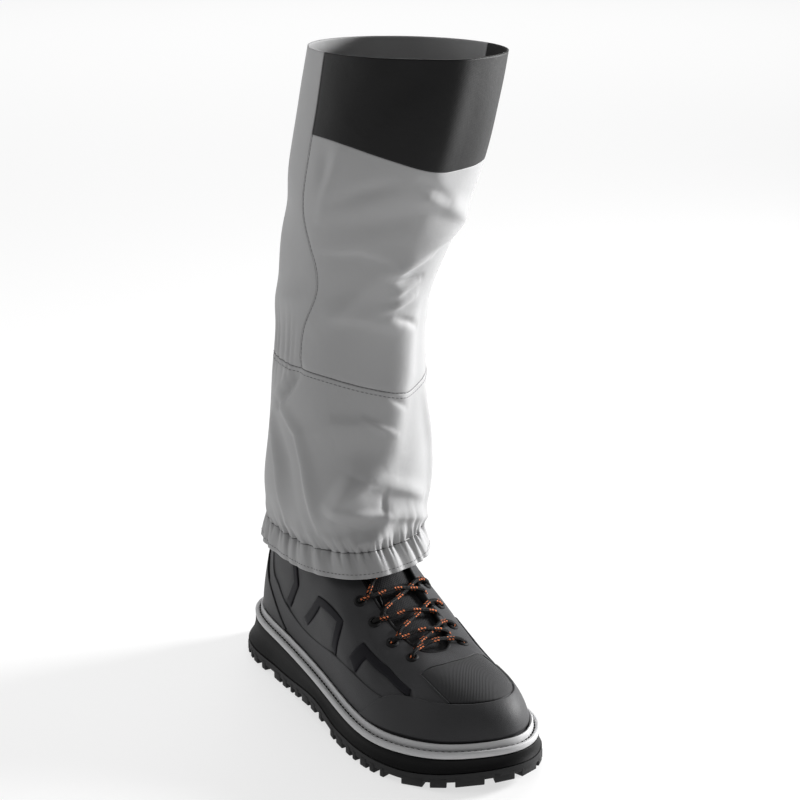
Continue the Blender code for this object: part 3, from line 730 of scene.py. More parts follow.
def ribbed_look():
    """A textile with fine ribs that slant across its UV map, painted darker at their feet as shade."""
    look, tree, shader = new_look("ribbed_panel_finish", 0.25, 0.05)
    turn = tree.nodes.new("ShaderNodeMapping")
    turn.inputs["Rotation"].default_value = (0.0, 0.0, math.radians(RIB_TURN_DEG))
    tree.links.new(surface_vector(tree, "cloth"), turn.inputs["Vector"])
    wave = tree.nodes.new("ShaderNodeTexWave")
    wave.inputs["Scale"].default_value = RIB_SCALE
    wave.inputs["Distortion"].default_value = RIB_DISTORTION
    tree.links.new(turn.outputs["Vector"], wave.inputs["Vector"])
    rib = wave.outputs["Fac"]
    # painted shade: the colour follows the rib's height, darker where it is low and lighter where it is high
    tree.links.new(mixed_colours(tree, rib, RIB_FOOT_SHADE, RIB_CREST_LIT), shader.inputs["Base Color"])
    shader.inputs["Roughness"].default_value = 0.72
    bump(tree, shader, rib, 0.35, 0.0003)
    return look


RIBBED = ribbed_look()
print("finish:", RIBBED.name)

# %% [markdown]
# The lace is a round braid. Its UV map runs round the cord once and along it in metres, so stripes of that
# map can stand for the strands: orange flecks show where a strand, a dash and a cluster of dashes meet.

# %% Mix the flecked lace
FLECK_PITCH = 0.0130
FLECK_SHARE = 0.46
DASH_PITCH = 0.0026
DASH_SHARE = 0.58
DASH_SLANT = 0.0070
STRANDS = 4.0
STRAND_SHARE = 0.50
BRAID_PER_METRE = 420.0
LACE_DARK = (0.007, 0.0065, 0.0065)
LACE_ORANGE = (0.66, 0.180, 0.065)


def stripes(tree, place, share):
    """A mask of stripes: a share of every whole step of a place."""
    return math_node(tree, "LESS_THAN", math_node(tree, "FRACT", place), share)


def lace_look():
    """A dark braided cord with clusters of orange dashes."""
    look, tree, shader = new_look("flecked_lace_finish", 0.2)
    split = tree.nodes.new("ShaderNodeSeparateXYZ")
    tree.links.new(surface_vector(tree, "cloth"), split.inputs[0])
    around, along = split.outputs["X"], split.outputs["Y"]
    slant = math_node(tree, "MULTIPLY_ADD", around, DASH_SLANT)
    tree.links.new(along, slant.node.inputs[2])
    strand_turns = math_node(tree, "MULTIPLY", around, STRANDS)
    cluster = stripes(tree, math_node(tree, "DIVIDE", along, FLECK_PITCH), FLECK_SHARE)
    dash = stripes(tree, math_node(tree, "DIVIDE", slant, DASH_PITCH), DASH_SHARE)
    strand = stripes(tree, strand_turns, STRAND_SHARE)
    fleck = math_node(tree, "MULTIPLY", cluster, math_node(tree, "MULTIPLY", dash, strand))
    tree.links.new(mixed_colours(tree, fleck, LACE_DARK, LACE_ORANGE), shader.inputs["Base Color"])
    shader.inputs["Roughness"].default_value = 0.75
    braid_turns = math_node(tree, "MULTIPLY", along, BRAID_PER_METRE)
    waves = []
    for direction in ("ADD", "SUBTRACT"):
        turns = math_node(tree, direction, strand_turns, braid_turns)
        waves.append(math_node(tree, "SINE", math_node(tree, "MULTIPLY", turns, 2 * math.pi)))
    bump(tree, shader, math_node(tree, "MULTIPLY", *waves), 0.6, 0.0003)
    return look


FLECKED_LACE = lace_look()
print("finish:", FLECKED_LACE.name)

# %% [markdown]
# ## The sole
#
# Three layers of rubber and foam: a lugged outsole, a black wedge above it and the insole inside. Each
# layer is a loft round the outline, with extra loops close to its edges so that they catch a soft highlight
# like moulded rubber.

# %% Loft the midsole
LUG_DEPTH = 0.0055
OUTSOLE_BASE = 0.0040
SOLE_STATIONS = 240
SOLE_SHARP_DEG = 50
SOLE_ROWS = np.arange(SOLE_STATIONS) * LOOP_ROWS / SOLE_STATIONS


class Band(NamedTuple):
    """A loop of the midsole's side: share of its height, inset in metres and share of the heel's flare."""

    share: float
    inset: float
    flare: float


MIDSOLE_BANDS = (
    Band(0.00, 0.0012, 1.00),
    Band(0.04, 0.0005, 1.00),
    Band(0.12, 0.0008, 0.85),
    Band(0.30, 0.0017, 0.52),
    Band(0.65, 0.0024, 0.20),
    Band(0.94, 0.0019, 0.00),
    Band(1.00, 0.0024, 0.00),
)


def midsole_foot(x):
    return tread_height(x) + LUG_DEPTH + OUTSOLE_BASE + GAP


def midsole_level(share):
    return lambda x: midsole_foot(x) + (midsole_height(x) - midsole_foot(x)) * share


midsole_loops = [
    layer(SOLE_ROWS, band.inset - band.flare * heel_flare(SOLE_ROWS), midsole_level(band.share))
    for band in MIDSOLE_BANDS
]
midsole_bm = lofted(midsole_loops)
finish_piece(
    "midsole_wedge", midsole_bm, BLACK_RUBBER, ("midsole",), sharp_deg=SOLE_SHARP_DEG
)

# %% [markdown]
# The outsole is a thin base with blocks that bite into gravel. Each block starts as a cube whose corners
# are moved to its plan, and a bevel rounds its edges. The blocks round the edge come in uneven pairs, and
# round the toe they stay whole, as on the real tread.

# %% Plan the blocks of the tread
EDGE_LUGS = 34
LONG_LUG = (0.25, 0.0150)  # half its length in rows and its depth in metres
SHORT_LUG = (0.18, 0.0110)
TOE_BLOCKS = (7.7, 12.3)  # rows between which the blocks are whole
LUG_SIZES = (1.06, 0.92, 1.12, 0.84, 1.0)
LUG_SPLITS = (-0.20, 0.15, 0.15)  # shares of half a block, from its middle to the gap
LUG_HALF_GAP = 0.05  # rows
LONE_LUG = 4  # every fourth pair has only its first block
SECOND_LUG_DEPTH = 0.8
LUG_STAND_OUT = 0.0006
LUG_TAPER = 0.12
LUG_ROUND = 0.0007
LUG_BURIED = 0.0012
BASE_FOOT = 0.0036


class Lug(NamedTuple):
    """A block at the edge of the tread, between two rows of the last."""

    start: float
    end: float
    depth: float


def edge_lugs():
    """Blocks round the edge: whole ones at the toe, uneven ones with gaps of their own along the sides."""
    pitch = LOOP_ROWS / EDGE_LUGS
    for i in range(EDGE_LUGS):
        half, depth = LONG_LUG if i % 2 else SHORT_LUG
        middle = (i + 0.5) * pitch
        if TOE_BLOCKS[0] < middle < TOE_BLOCKS[1]:
            yield Lug(middle - half, middle + half, depth)
            continue
        half *= LUG_SIZES[i % len(LUG_SIZES)]
        split = middle + half * LUG_SPLITS[i % len(LUG_SPLITS)]
        yield Lug(middle - half, split - LUG_HALF_GAP, depth)
        if i % LONE_LUG:
            yield Lug(split + LUG_HALF_GAP, middle + half, depth * SECOND_LUG_DEPTH)


def lug_plan(lug):
    """Plan corners of an edge block, narrower towards the middle of the sole."""
    ends = np.array([lug.start, lug.end])
    draw_in = LUG_TAPER * (lug.end - lug.start)
    narrow = np.array([lug.end - draw_in, lug.start + draw_in])
    outer = layer(ends, -LUG_STAND_OUT - heel_flare(ends), tread_height)[:, :2]
    return np.vstack([outer, layer(narrow, lug.depth, tread_height)[:, :2]])


def add_block(bm, plan):
    """Adds a bevelled block that stands on the tread's face and reaches into the base above it."""
    cube = bmesh.ops.create_cube(bm, size=1.0)["verts"]
    face = tread_height(plan[:, 0])
    corners = {(False, False): 0, (True, False): 1, (True, True): 2, (False, True): 3}
    for vert in cube:
        i = corners[(vert.co.x > 0, vert.co.y > 0)]
        vert.co = (*plan[i], face[i] + (LUG_DEPTH + LUG_BURIED if vert.co.z > 0 else 0.0))
    edges = {edge for vert in cube for edge in vert.link_edges}
    bm.normal_update()
    bmesh.ops.bevel(
        bm, geom=list(edges), offset=LUG_ROUND, segments=2, profile=0.5, affect="EDGES", material=-1
    )


class Chevron(NamedTuple):
    """A block across the middle of the tread, its point towards the toe."""

    along: float  # share of LENGTH
    reach: float
    arm: float
    bar: float
    middle: float


HEEL_CHEVRONS = tuple(Chevron(0.125 + 0.070 * i, 0.016 + 0.001 * i, 0.009, 0.009, 0.0) for i in range(3))
BALL_CHEVRONS = tuple(
    Chevron(0.625 + 0.075 * i, reach, 0.012, 0.010, -0.003)
    for i, reach in enumerate((0.030, 0.033, 0.033, 0.028))
)
print("blocks at the edge:", len(list(edge_lugs())))

# %% [markdown]
# The base is a loft of three loops, the lowest one drawn in a little, and the blocks are added to the same
# mesh. They reach into the base, so nothing has to be cut or joined.

# %% Build the outsole
BASE_LOOPS = (  # inset and height above the tread's face
    (0.0008, BASE_FOOT),
    (-0.0003, BASE_FOOT + 0.0008),
    (-0.0001, LUG_DEPTH + OUTSOLE_BASE),
)


def base_loop(inset, height):
    """A loop round the base of the outsole, which flares at the heel."""
    return layer(SOLE_ROWS, inset - heel_flare(SOLE_ROWS), lambda x: tread_height(x) + height)


outsole_bm = lofted([base_loop(inset, height) for inset, height in BASE_LOOPS])
for lug in edge_lugs():
    add_block(outsole_bm, lug_plan(lug))
for block in HEEL_CHEVRONS + BALL_CHEVRONS:
    x, y = block.along * LENGTH, block.middle
    back = x - block.arm
    for side in (-1, 1):
        arm = [(x, y), (back, y + side * block.reach)]
        arm += [(back + block.bar, y + side * block.reach), (x + block.bar, y)]
        add_block(outsole_bm, np.array(arm if side < 0 else arm[::-1]))
bmesh.ops.recalc_face_normals(outsole_bm, faces=outsole_bm.faces)
finish_piece(
    "lugged_outsole", outsole_bm, TREAD_RUBBER, ("outsole",), sharp_deg=SOLE_SHARP_DEG
)

# %% [markdown]
# ## The welt
#
# The grey strip round the upper has two ridges with a stitched groove between them. Its section is a short
# list of corners, and each corner becomes a loop round the outline. Dark stitches lie in the groove, one
# small stretched ball for each.

# %% Sweep the welt and sew it
class WeltPoint(NamedTuple):
    """A corner of the welt's section: metres in from the outline and up from the midsole."""

    inset: float
    height: float


WELT_SECTION = (
    WeltPoint(0.0026, 0.0004),
    WeltPoint(0.0018, 0.0012),
    WeltPoint(0.0017, 0.0040),
    WeltPoint(0.0024, 0.0050),
    WeltPoint(0.0034, 0.0053),
    WeltPoint(0.0044, 0.0049),
    WeltPoint(0.0050, 0.0037),
    WeltPoint(0.0057, 0.0036),
    WeltPoint(0.0061, 0.0052),
    WeltPoint(0.0062, 0.0080),
    WeltPoint(0.0070, 0.0092),
    WeltPoint(0.0080, 0.0091),
    WeltPoint(0.0087, 0.0078),
    WeltPoint(0.0091, 0.0004),
)
WELT_STITCH_PITCH = 0.0044
WELT_STITCH = (0.0016, 0.0007, 0.0006)  # half its length, width and height
GROOVE = WeltPoint(0.0053, 0.0044)


def path_reach(path):
    """How far along a path each of its points lies."""
    return np.concatenate([[0], np.cumsum(np.linalg.norm(np.diff(path, axis=0), axis=1))])


def even_steps(path, places, pitch):
    """Places for stitches, one in the middle of each step of this pitch along a path."""
    reach = path_reach(path)
    count = int(reach[-1] / pitch)
    return np.interp((np.arange(count) + 0.5) * reach[-1] / count, reach, places)


def add_stitches(bm, points, runs, normals, size):
    """Adds a stretched ball for each stitch: size is its half length, half width and half height."""
    for point, run, normal in zip(points, runs, normals):
        along = Vector(run).normalized()
        side = Vector(normal).normalized().cross(along).normalized()
        up = along.cross(side).normalized()
        axes = Matrix((along * size[0], side * size[1], up * size[2])).transposed()
        bmesh.ops.create_icosphere(
            bm, subdivisions=1, radius=1.0, matrix=Matrix.Translation(Vector(point)) @ axes.to_4x4()
        )
    return bm


welt_loops = [layer(SOLE_ROWS, p.inset, above_midsole(p.height)) for p in WELT_SECTION]
finish_piece("ridged_welt", lofted(welt_loops, "joined"), GREY_WELT, ("welt",), sharp_deg=60)


def groove_line(rows):
    return layer(rows, GROOVE.inset, above_midsole(GROOVE.height))


all_rows = np.linspace(0, LOOP_ROWS, 2001)
stitch_rows = even_steps(groove_line(all_rows), all_rows, WELT_STITCH_PITCH)
groove_runs = groove_line(stitch_rows + 0.02) - groove_line(stitch_rows - 0.02)
groove_up = np.tile((0.0, 0.0, 1.0), (len(stitch_rows), 1))
stitch_bm = add_stitches(bmesh.new(), groove_line(stitch_rows), groove_runs, groove_up, WELT_STITCH)
bmesh.ops.recalc_face_normals(stitch_bm, faces=stitch_bm.faces)
finish_piece("welt_stitches", stitch_bm, DARK_THREAD)

# %% [markdown]
# ## The insole
#
# The footbed is a soft board inside the upper, so it is lofted with a rounded upper edge and gets a foam
# finish. A plain slab would do, as little of it shows, but the rounded edge costs only one loop.

# %% Loft the insole
INSOLE_INSET = FEATHER_INSET + 0.0034
INSOLE_THICKNESS = 0.0040
INSOLE_ROUND = (0.0010, 0.0012)  # inwards and downwards
insole_loops = [
    layer(SOLE_ROWS, INSOLE_INSET, above_midsole(GAP)),
    layer(SOLE_ROWS, INSOLE_INSET, above_midsole(GAP + INSOLE_THICKNESS - INSOLE_ROUND[1])),
    layer(SOLE_ROWS, INSOLE_INSET + INSOLE_ROUND[0], above_midsole(GAP + INSOLE_THICKNESS)),
]
finish_piece("footbed", lofted(insole_loops), FOAM, ("insole",), sharp_deg=SOLE_SHARP_DEG)

# %% [markdown]
# ## The upper
#
# The upper is one sheet wrapped round the last. Its address on the last, row and level, places every
# detail: the dark insets lie in shallow hollows, and the eyelets get real holes. A wall modifier gives the
# sheet its thickness.

# %% Place the insets on the upper
WALL = 0.0022
INSET_HOLLOW = 0.0005
HOLLOW_MARGIN = 0.0022
HOLLOW_SLOPE = 0.0020


class Inset(NamedTuple):
    """A dark band on the side of the upper: its middle line as rows and levels, and half its width."""

    name: str
    line: tuple
    half_width: float


OUTER_INSETS = (
    Inset("inset_heel", ((3.37, 0.62), (3.46, 0.50), (3.15, 0.32)), 0.0036),
    Inset("inset_arch", ((3.90, 0.30), (4.58, 0.50), (5.60, 0.56), (5.18, 0.31)), 0.0033),
    Inset("inset_ball", ((6.02, 0.39), (6.52, 0.59), (7.26, 0.585), (7.92, 0.49)), 0.0042),
)
INNER_INSETS = tuple(
    Inset("inner_" + name, tuple((LOOP_ROWS - row, level) for row, level in line), half_width)
    for name, line, half_width in OUTER_INSETS[1:]
)
INSETS = OUTER_INSETS + INNER_INSETS


def local_scale(line):
    """Metres for one row and for one level near the middle of a line."""
    row, level = (np.array([x]) for x in np.mean(line, axis=0))
    step = 0.05
    across = upper_point(row + step, level) - upper_point(row - step, level)
    climb = upper_point(row, level + step) - upper_point(row, level - step)
    return np.array([np.linalg.norm(across), np.linalg.norm(climb)]) / (2 * step)


def distance_to_line(points, line):
    """Distances from plan points to a line of straight stretches."""
    best = np.full(len(points), np.inf)
    for start, end in zip(line, line[1:]):
        run = end - start
        share = np.clip((points - start) @ run / (run @ run), 0, 1)
        best = np.minimum(best, np.linalg.norm(points - start - share[:, None] * run, axis=1))
    return best


def hollow(row, level):
    """How deep the wall is pressed in under the insets, in metres."""
    share = np.zeros(len(row))
    for inset in INSETS:
        scale = local_scale(inset.line)
        off = distance_to_line(np.column_stack([row, level]) * scale, np.array(inset.line) * scale)
        share = np.maximum(share, (inset.half_width + HOLLOW_MARGIN - off) / HOLLOW_SLOPE)
    return INSET_HOLLOW * np.minimum(share, 1)


print("insets:", [inset.name for inset in INSETS])

# %% [markdown]
# Now the sheet itself: a grid of 360 columns round the foot and 72 rows up the wall is laid on the last.
# Faces near the middle of an eyelet are deleted, and the rings cover the rough edge that this leaves. A
# boolean would cut rounder holes, but it would also upset the clean grid.

# %% Wrap the upper and punch the eyelets
EYELET_ROWS = (8.10, 7.26, 6.63, 6.12, 5.10)
EYELET_LEVEL = 0.86
EYELET_HOLE = 0.0026
ALL_EYELET_ROWS = EYELET_ROWS + tuple(LOOP_ROWS - row for row in EYELET_ROWS)
UPPER_COLUMNS = 360
UPPER_LEVELS = 72
UPPER_FLAT = (0.74, 0.13)
WALL_SLACK = 0.00025


def spot(row, level):
    """One point on the outside of the upper."""
    return Vector(upper_point(np.array([row]), np.array([level]))[0])


def wall_place(across, up):
    """The upper's wall, with a faint slack that dies away at both edges."""
    row = across * LOOP_ROWS
    slack = WALL_SLACK * np.sin(row * 5.3 + up * 9.0) * np.sin(up * 14.0 - row * 1.7) * np.sin(up * math.pi)
    return upper_point(row, up, slack - hollow(row, up))


upper_bm = laid_grid(wall_place, UPPER_COLUMNS, UPPER_LEVELS, UPPER_FLAT, wrap=True)
for row in ALL_EYELET_ROWS:
    centre = spot(row, EYELET_LEVEL)
    inside = [face for face in upper_bm.faces if (face.calc_center_median() - centre).length < EYELET_HOLE]
    bmesh.ops.delete(upper_bm, geom=inside, context="FACES")
finish_piece("wrapped_upper", upper_bm, CHARCOAL, ("upper",), wall=WALL)

# %% [markdown]
# The insets themselves are strips of dark film that line those hollows. A strip is a grid between the two
# edges of its middle line, so its corners stay crisp.

# %% Lay the insets
FILM_WALL = 0.0006
FILM_LIFT = -0.0001
FILM_ROUND = 0.0004


def mitred_edges(line, half_width):
    """The two edges of a band along a line of straight stretches in the plane."""
    line = np.asarray(line, float)
    runs = np.diff(line, axis=0)
    runs /= np.linalg.norm(runs, axis=1)[:, None]
    sides = np.column_stack([-runs[:, 1], runs[:, 0]])
    edges = []
    for i in range(len(line)):
        before, after = sides[max(i - 1, 0)], sides[min(i, len(sides) - 1)]
        mitre = before + after
        mitre *= half_width / (mitre @ after)
        edges.append((line[i] - mitre, line[i] + mitre))
    return np.array(edges)


def add_inset(bm, inset):
    """Adds a strip of film along an inset's middle line."""
    scale = local_scale(inset.line)
    edges = mitred_edges(np.array(inset.line) * scale, inset.half_width)
    stretches = len(inset.line) - 1
    strip = bmesh.ops.create_grid(bm, x_segments=8, y_segments=14 * stretches, size=0.5)["verts"]
    shares = np.array([vert.co[:2] for vert in strip]) + 0.5
    place = shares[:, 1] * stretches
    i = np.minimum(place.astype(int), stretches - 1)
    on_edges = edges[i] + (edges[i + 1] - edges[i]) * (place - i)[:, None, None]
    plan = on_edges[:, 0] + (on_edges[:, 1] - on_edges[:, 0]) * shares[:, :1]
    rim = np.maximum(np.abs(shares[:, 0] - 0.5), np.abs(shares[:, 1] - 0.5)) * 2
    lift = FILM_LIFT - FILM_ROUND * np.clip((rim - 0.8) / 0.2, 0, 1) ** 2
    for vert, point in zip(strip, upper_point(plan[:, 0] / scale[0], plan[:, 1] / scale[1], lift)):
        vert.co = point


inset_bm = bmesh.new()
for inset in INSETS:
    add_inset(inset_bm, inset)
finish_piece("dark_insets", inset_bm, INSET_FILM, wall=FILM_WALL)

# %% [markdown]
# ## Overlays of the upper
#
# The toe cap, the heel counter and a strip that runs from the collar down beside the heel and on along each
# side are moulded on top of the upper, and a ribbed textile covers the toes behind the cap. Each one is a
# grid between a lower and an upper edge, and each edge is a short list of rows and levels. The sheet sinks
# at its free edges, which makes the thin moulded lip.

# %% Write the overlay helpers
OVERLAY = 0.0010
OVERLAY_FLAT = (0.16, 0.05)
WELT_CLEARANCE = 0.0096
METRES_PER_LEVEL = 0.12
LEAST_LEVELS = 0.012


class EdgePoint(NamedTuple):
    """A point of an overlay's edge on the last."""

    row: float
    level: float


def other_side(points):
    """The same edge on the inner side, in the order of its rows."""
    return tuple(EdgePoint(LOOP_ROWS - p.row, p.level) for p in reversed(points) if p.row < TOE_ROW)


def mirrored(points):
    """An edge of the outer side followed by the same edge on the inner side."""
    return tuple(points) + other_side(points)


def edge_curve(points):
    """The level of an edge at each row."""
    curve = cubic([p.row for p in points], [p.level for p in points])
    return lambda row: curve(row)[:, 0]


def overlay(edge, columns, rows, lift, lip):
    """A sheet between the welt and an edge, which sinks within a lip of that edge and at its two ends."""
    start, end = edge[0].row, edge[-1].row

    def place(across, up):
        row = start + across * (end - start)
        up = 1 - (1 - up) ** 1.8
        bottom = level_at_height(row, WELT_CLEARANCE)
        levels = np.maximum(edge_curve(edge)(row) - bottom, LEAST_LEVELS)
        from_edge = levels * (1 - up) * METRES_PER_LEVEL
        sink = np.clip(1 - from_edge / lip, 0, 1) ** 2
        ends = np.clip(1 - np.minimum(across, 1 - across) * columns / 2, 0, 1)
        sunk = lift * (1 - 0.9 * np.maximum(sink, ends))
        return upper_point(np.mod(row, LOOP_ROWS), bottom + levels * up, sunk)

    return laid_grid(place, columns, rows, OVERLAY_FLAT)


print("overlays are", 1000 * OVERLAY, "mm thick")

# %% [markdown]
# The moulded cap shields the toes from rocks, and the counter holds the heel. Both start just above the welt.

# %% Lay the toe cap and the heel counter
CAP_EDGE = mirrored(
    [
        EdgePoint(6.05, 0.10),
        EdgePoint(6.35, 0.17),
        EdgePoint(6.70, 0.27),
        EdgePoint(7.15, 0.39),
        EdgePoint(7.50, 0.445),
        EdgePoint(7.90, 0.463),
        EdgePoint(8.60, 0.440),
        EdgePoint(9.20, 0.410),
        EdgePoint(10.0, 0.400),
    ]
)
CAP_LIFT = OVERLAY + 0.0004
cap_bm = overlay(CAP_EDGE, 150, 34, CAP_LIFT, lip=0.0010)
finish_piece("moulded_toe_cap", cap_bm, CAP_RUBBER, ("toe_cap",), wall=OVERLAY)

COUNTER_SIDE = (
    EdgePoint(0.80, 0.560),
    EdgePoint(1.68, 0.416),
    EdgePoint(2.02, 0.348),
    EdgePoint(2.52, 0.252),
    EdgePoint(2.92, 0.140),
    EdgePoint(3.10, 0.100),
)
COUNTER_MIDDLE = EdgePoint(0.0, 0.600)
COUNTER_INNER = tuple(EdgePoint(-p.row, p.level) for p in reversed(COUNTER_SIDE))
COUNTER_EDGE = (*COUNTER_INNER, COUNTER_MIDDLE, *COUNTER_SIDE)
COUNTER_LIFT = OVERLAY + 0.0005
counter_bm = overlay(COUNTER_EDGE, 130, 44, COUNTER_LIFT, lip=0.0016)
finish_piece(
    "moulded_heel_counter", counter_bm, CAP_RUBBER, ("heel_counter",), wall=OVERLAY
)

# %% [markdown]
# A second layer of the upper's own charcoal covers the lower part of each side. It is thin, so only its
# upper edge shows, as a fine line from the heel to the toe cap.

# %% Lay the side strips
STRIP_LIFT = 0.0008
STRIP_WALL = 0.0009
SIDE_EDGE = (
    EdgePoint(2.06, 0.66),
    EdgePoint(2.20, 0.51),
    EdgePoint(2.56, 0.40),
    EdgePoint(2.92, 0.325),
    EdgePoint(3.30, 0.270),
    EdgePoint(3.80, 0.236),
    EdgePoint(4.40, 0.242),
    EdgePoint(5.06, 0.284),
    EdgePoint(6.12, 0.352),
    EdgePoint(7.05, 0.372),
)
for name, edge in (("outer_side_strip", SIDE_EDGE), ("inner_side_strip", other_side(SIDE_EDGE))):
    strip_bm = overlay(edge, 150, 24, STRIP_LIFT, lip=0.0010)
    finish_piece(name, strip_bm, CHARCOAL, wall=STRIP_WALL)

# %% [markdown]
# Behind the cap, a ribbed textile lets the toes bend. Its lower edge follows the cap's edge, and it gets
# wider towards the lace.

# %% Lay the ribbed toe panel
PANEL_HIGH = mirrored(
    [EdgePoint(8.44, 0.69), EdgePoint(8.76, 0.768), EdgePoint(9.28, 0.828), EdgePoint(10.0, 0.866)]
)
PANEL_HALF_LOW = 1.00  # rows to either side of the toe
PANEL_HALF_HIGH = 1.56
PANEL_FLAT = (0.10, 0.05)
PANEL_WALL = 0.0007
PANEL_LIFT = 0.0005
CAP_TO_PANEL = 0.004  # levels
PANEL_RIM = 0.03  # share of the panel


def panel_point(across, up, lift):
    """Points on the toe panel, which gets narrower towards the cap."""
    row = TOE_ROW + (across * 2 - 1) * (PANEL_HALF_LOW + (PANEL_HALF_HIGH - PANEL_HALF_LOW) * up)
    low, high = edge_curve(CAP_EDGE)(row) + CAP_TO_PANEL, edge_curve(PANEL_HIGH)(row)
    return upper_point(row, low + (high - low) * up, lift)


def panel_place(across, up):
    rim = np.minimum(np.minimum(across, 1 - across), np.minimum(up, 1 - up))
    return panel_point(across, up, PANEL_LIFT * np.clip(rim / PANEL_RIM, 0.1, 1))


panel_bm = laid_grid(panel_place, 90, 40, PANEL_FLAT)
finish_piece("ribbed_toe_panel", panel_bm, RIBBED, wall=PANEL_WALL)

# %% [markdown]
# ## Piping and bindings
#
# A rolled cord outlines the heel counter, a finer one the toe panel, and a thin binding closes the raw edge
# of the collar and the throat. All are round tubes along a curve: rings of points that turn with the curve,
# lofted one after the other.

# %% Sweep the piping and the binding
PIPING_RADIUS = 0.0009
PANEL_PIPING_RADIUS = 0.0005
BINDING_RADIUS = 0.0016
PIPING_SIDES = 8


def tube_rings(path, radius, sides, closed=False):
    """Rings of points round a path, kept from twisting by carrying the first ring's frame along."""
    path = np.asarray(path, float)
    ahead = np.roll(path, -1, axis=0) - np.roll(path, 1, axis=0)
    if not closed:
        ahead[0], ahead[-1] = path[1] - path[0], path[-1] - path[-2]
    ahead /= np.linalg.norm(ahead, axis=1)[:, None]
    side = np.cross(ahead[0], (0.0, 0.0, 1.0))
    rings = []
    angles = np.arange(sides) * 2 * math.pi / sides
    for point, forward in zip(path, ahead):
        side = side - forward * (side @ forward)
        side /= np.linalg.norm(side)
        up = np.cross(side, forward)
        rings.append(point + radius * (np.outer(np.cos(angles), side) + np.outer(np.sin(angles), up)))
    return rings


counter_rows = np.linspace(-3.08, 3.08, 160)
counter_levels = edge_curve(COUNTER_EDGE)(counter_rows)
counter_path = upper_point(np.mod(counter_rows, LOOP_ROWS), counter_levels, 0.0007)
counter_tube = lofted(tube_rings(counter_path, PIPING_RADIUS, PIPING_SIDES))
finish_piece("counter_piping", counter_tube, PIPING)

shares = np.linspace(0, 1, 40)
low_end, high_end = np.zeros(len(shares)), np.ones(len(shares))
panel_across = np.concatenate([low_end, shares[1:-1], high_end])
panel_up = np.concatenate([shares, high_end[1:-1], shares[::-1]])
panel_path = panel_point(panel_across, panel_up, 0.0004)
panel_tube = lofted(tube_rings(panel_path, PANEL_PIPING_RADIUS, PIPING_SIDES))
finish_piece("toe_panel_piping", panel_tube, CAP_RUBBER)

edge_rows = np.arange(320) * LOOP_ROWS / 320
binding_path = upper_point(edge_rows, np.full(len(edge_rows), 0.998), -0.5 * WALL)
binding_tube = lofted(tube_rings(binding_path, BINDING_RADIUS, PIPING_SIDES, closed=True), "joined")
finish_piece("edge_binding", binding_tube, PIPING)

# %% [markdown]
# ## The tongue
#
# The padded tongue closes the throat. Its solid already has the right sweep, so rays dropped on it give the
# height of the new sheet, and a shallow quilting between sewn lines makes it look stuffed.

# %% Quilt the tongue
TONGUE_MIDDLE = 0.0005
TONGUE_THICKNESS = 0.0045
TONGUE_ENDS = (0.1202, 0.2550)
TONGUE_FLAT = (0.058, 0.16)
TONGUE_MARGIN = 0.0010
TONGUE_SINK = 0.0006
QUILTS = 7
QUILT_RISE = 0.0007
RAY_HEIGHT = 0.26
DOWN = Vector((0, 0, -1))
tongue_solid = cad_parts["tongue"].data
tongue_tree = BVHTree.FromPolygons(
    [vert.co for vert in tongue_solid.vertices], [face.vertices[:] for face in tongue_solid.polygons]
)


def tongue_half_width(x):
    return np.interp(x, (0.118, 0.224, 0.256), (0.029, 0.029, 0.014))


def tongue_place(across, up):
    """The top of the quilted tongue: where a ray meets the solid, or the nearest point beside it."""
    x = TONGUE_ENDS[1] + (TONGUE_ENDS[0] - TONGUE_ENDS[1]) * up
    y = TONGUE_MIDDLE + (across * 2 - 1) * (tongue_half_width(x) - TONGUE_MARGIN)
    pad = QUILT_RISE * np.abs(np.sin(up * QUILTS * math.pi)) ** 0.6 * np.cos((across - 0.5) * math.pi) ** 0.5
    points = []
    for px, py, rise in zip(x, y, pad):
        start = Vector((px, py, RAY_HEIGHT)) + BOOT_TO_FRAME
        hit = tongue_tree.ray_cast(start, DOWN)[0]
        hit = hit or tongue_tree.find_nearest(start + DOWN * 0.1)[0]
        points.append(hit - BOOT_TO_FRAME + DOWN * (TONGUE_SINK - rise))
    return points


tongue_bm = laid_grid(tongue_place, 40, 120, TONGUE_FLAT)
tongue = finish_piece(
    "padded_tongue", tongue_bm, TONGUE_CLOTH, ("tongue",), wall=TONGUE_THICKNESS
)

# %% [markdown]
# ## Eyelets
#
# A reinforcing ring sits on each hole. One ring is a small profile spun round the hole's own axis; the ring
# is thick at the hole and thins out to the upper. The rings are joined to one mesh because they repeat.

# %% Spin the eyelet rings
class RingPoint(NamedTuple):
    """A corner of an eyelet's section: metres from the hole's axis and above the upper."""

    radius: float
    lift: float


EYELET_PROFILE = (
    RingPoint(0.0023, -0.0010),
    RingPoint(0.0023, 0.0008),
    RingPoint(0.0028, 0.0013),
    RingPoint(0.0036, 0.0010),
    RingPoint(0.0046, 0.0002),
    RingPoint(0.0046, -0.0010),
)
EYELET_STEPS = 20


def eyelet_axes(row):
    """The middle of an eyelet on the upper, the way out of the wall and the way up along it."""
    out = Vector(upper_normal(np.array([row]), np.array([EYELET_LEVEL]))[0])
    climb = spot(row, EYELET_LEVEL + 0.02) - spot(row, EYELET_LEVEL - 0.02)
    return spot(row, EYELET_LEVEL), out, (climb - out * climb.dot(out)).normalized()


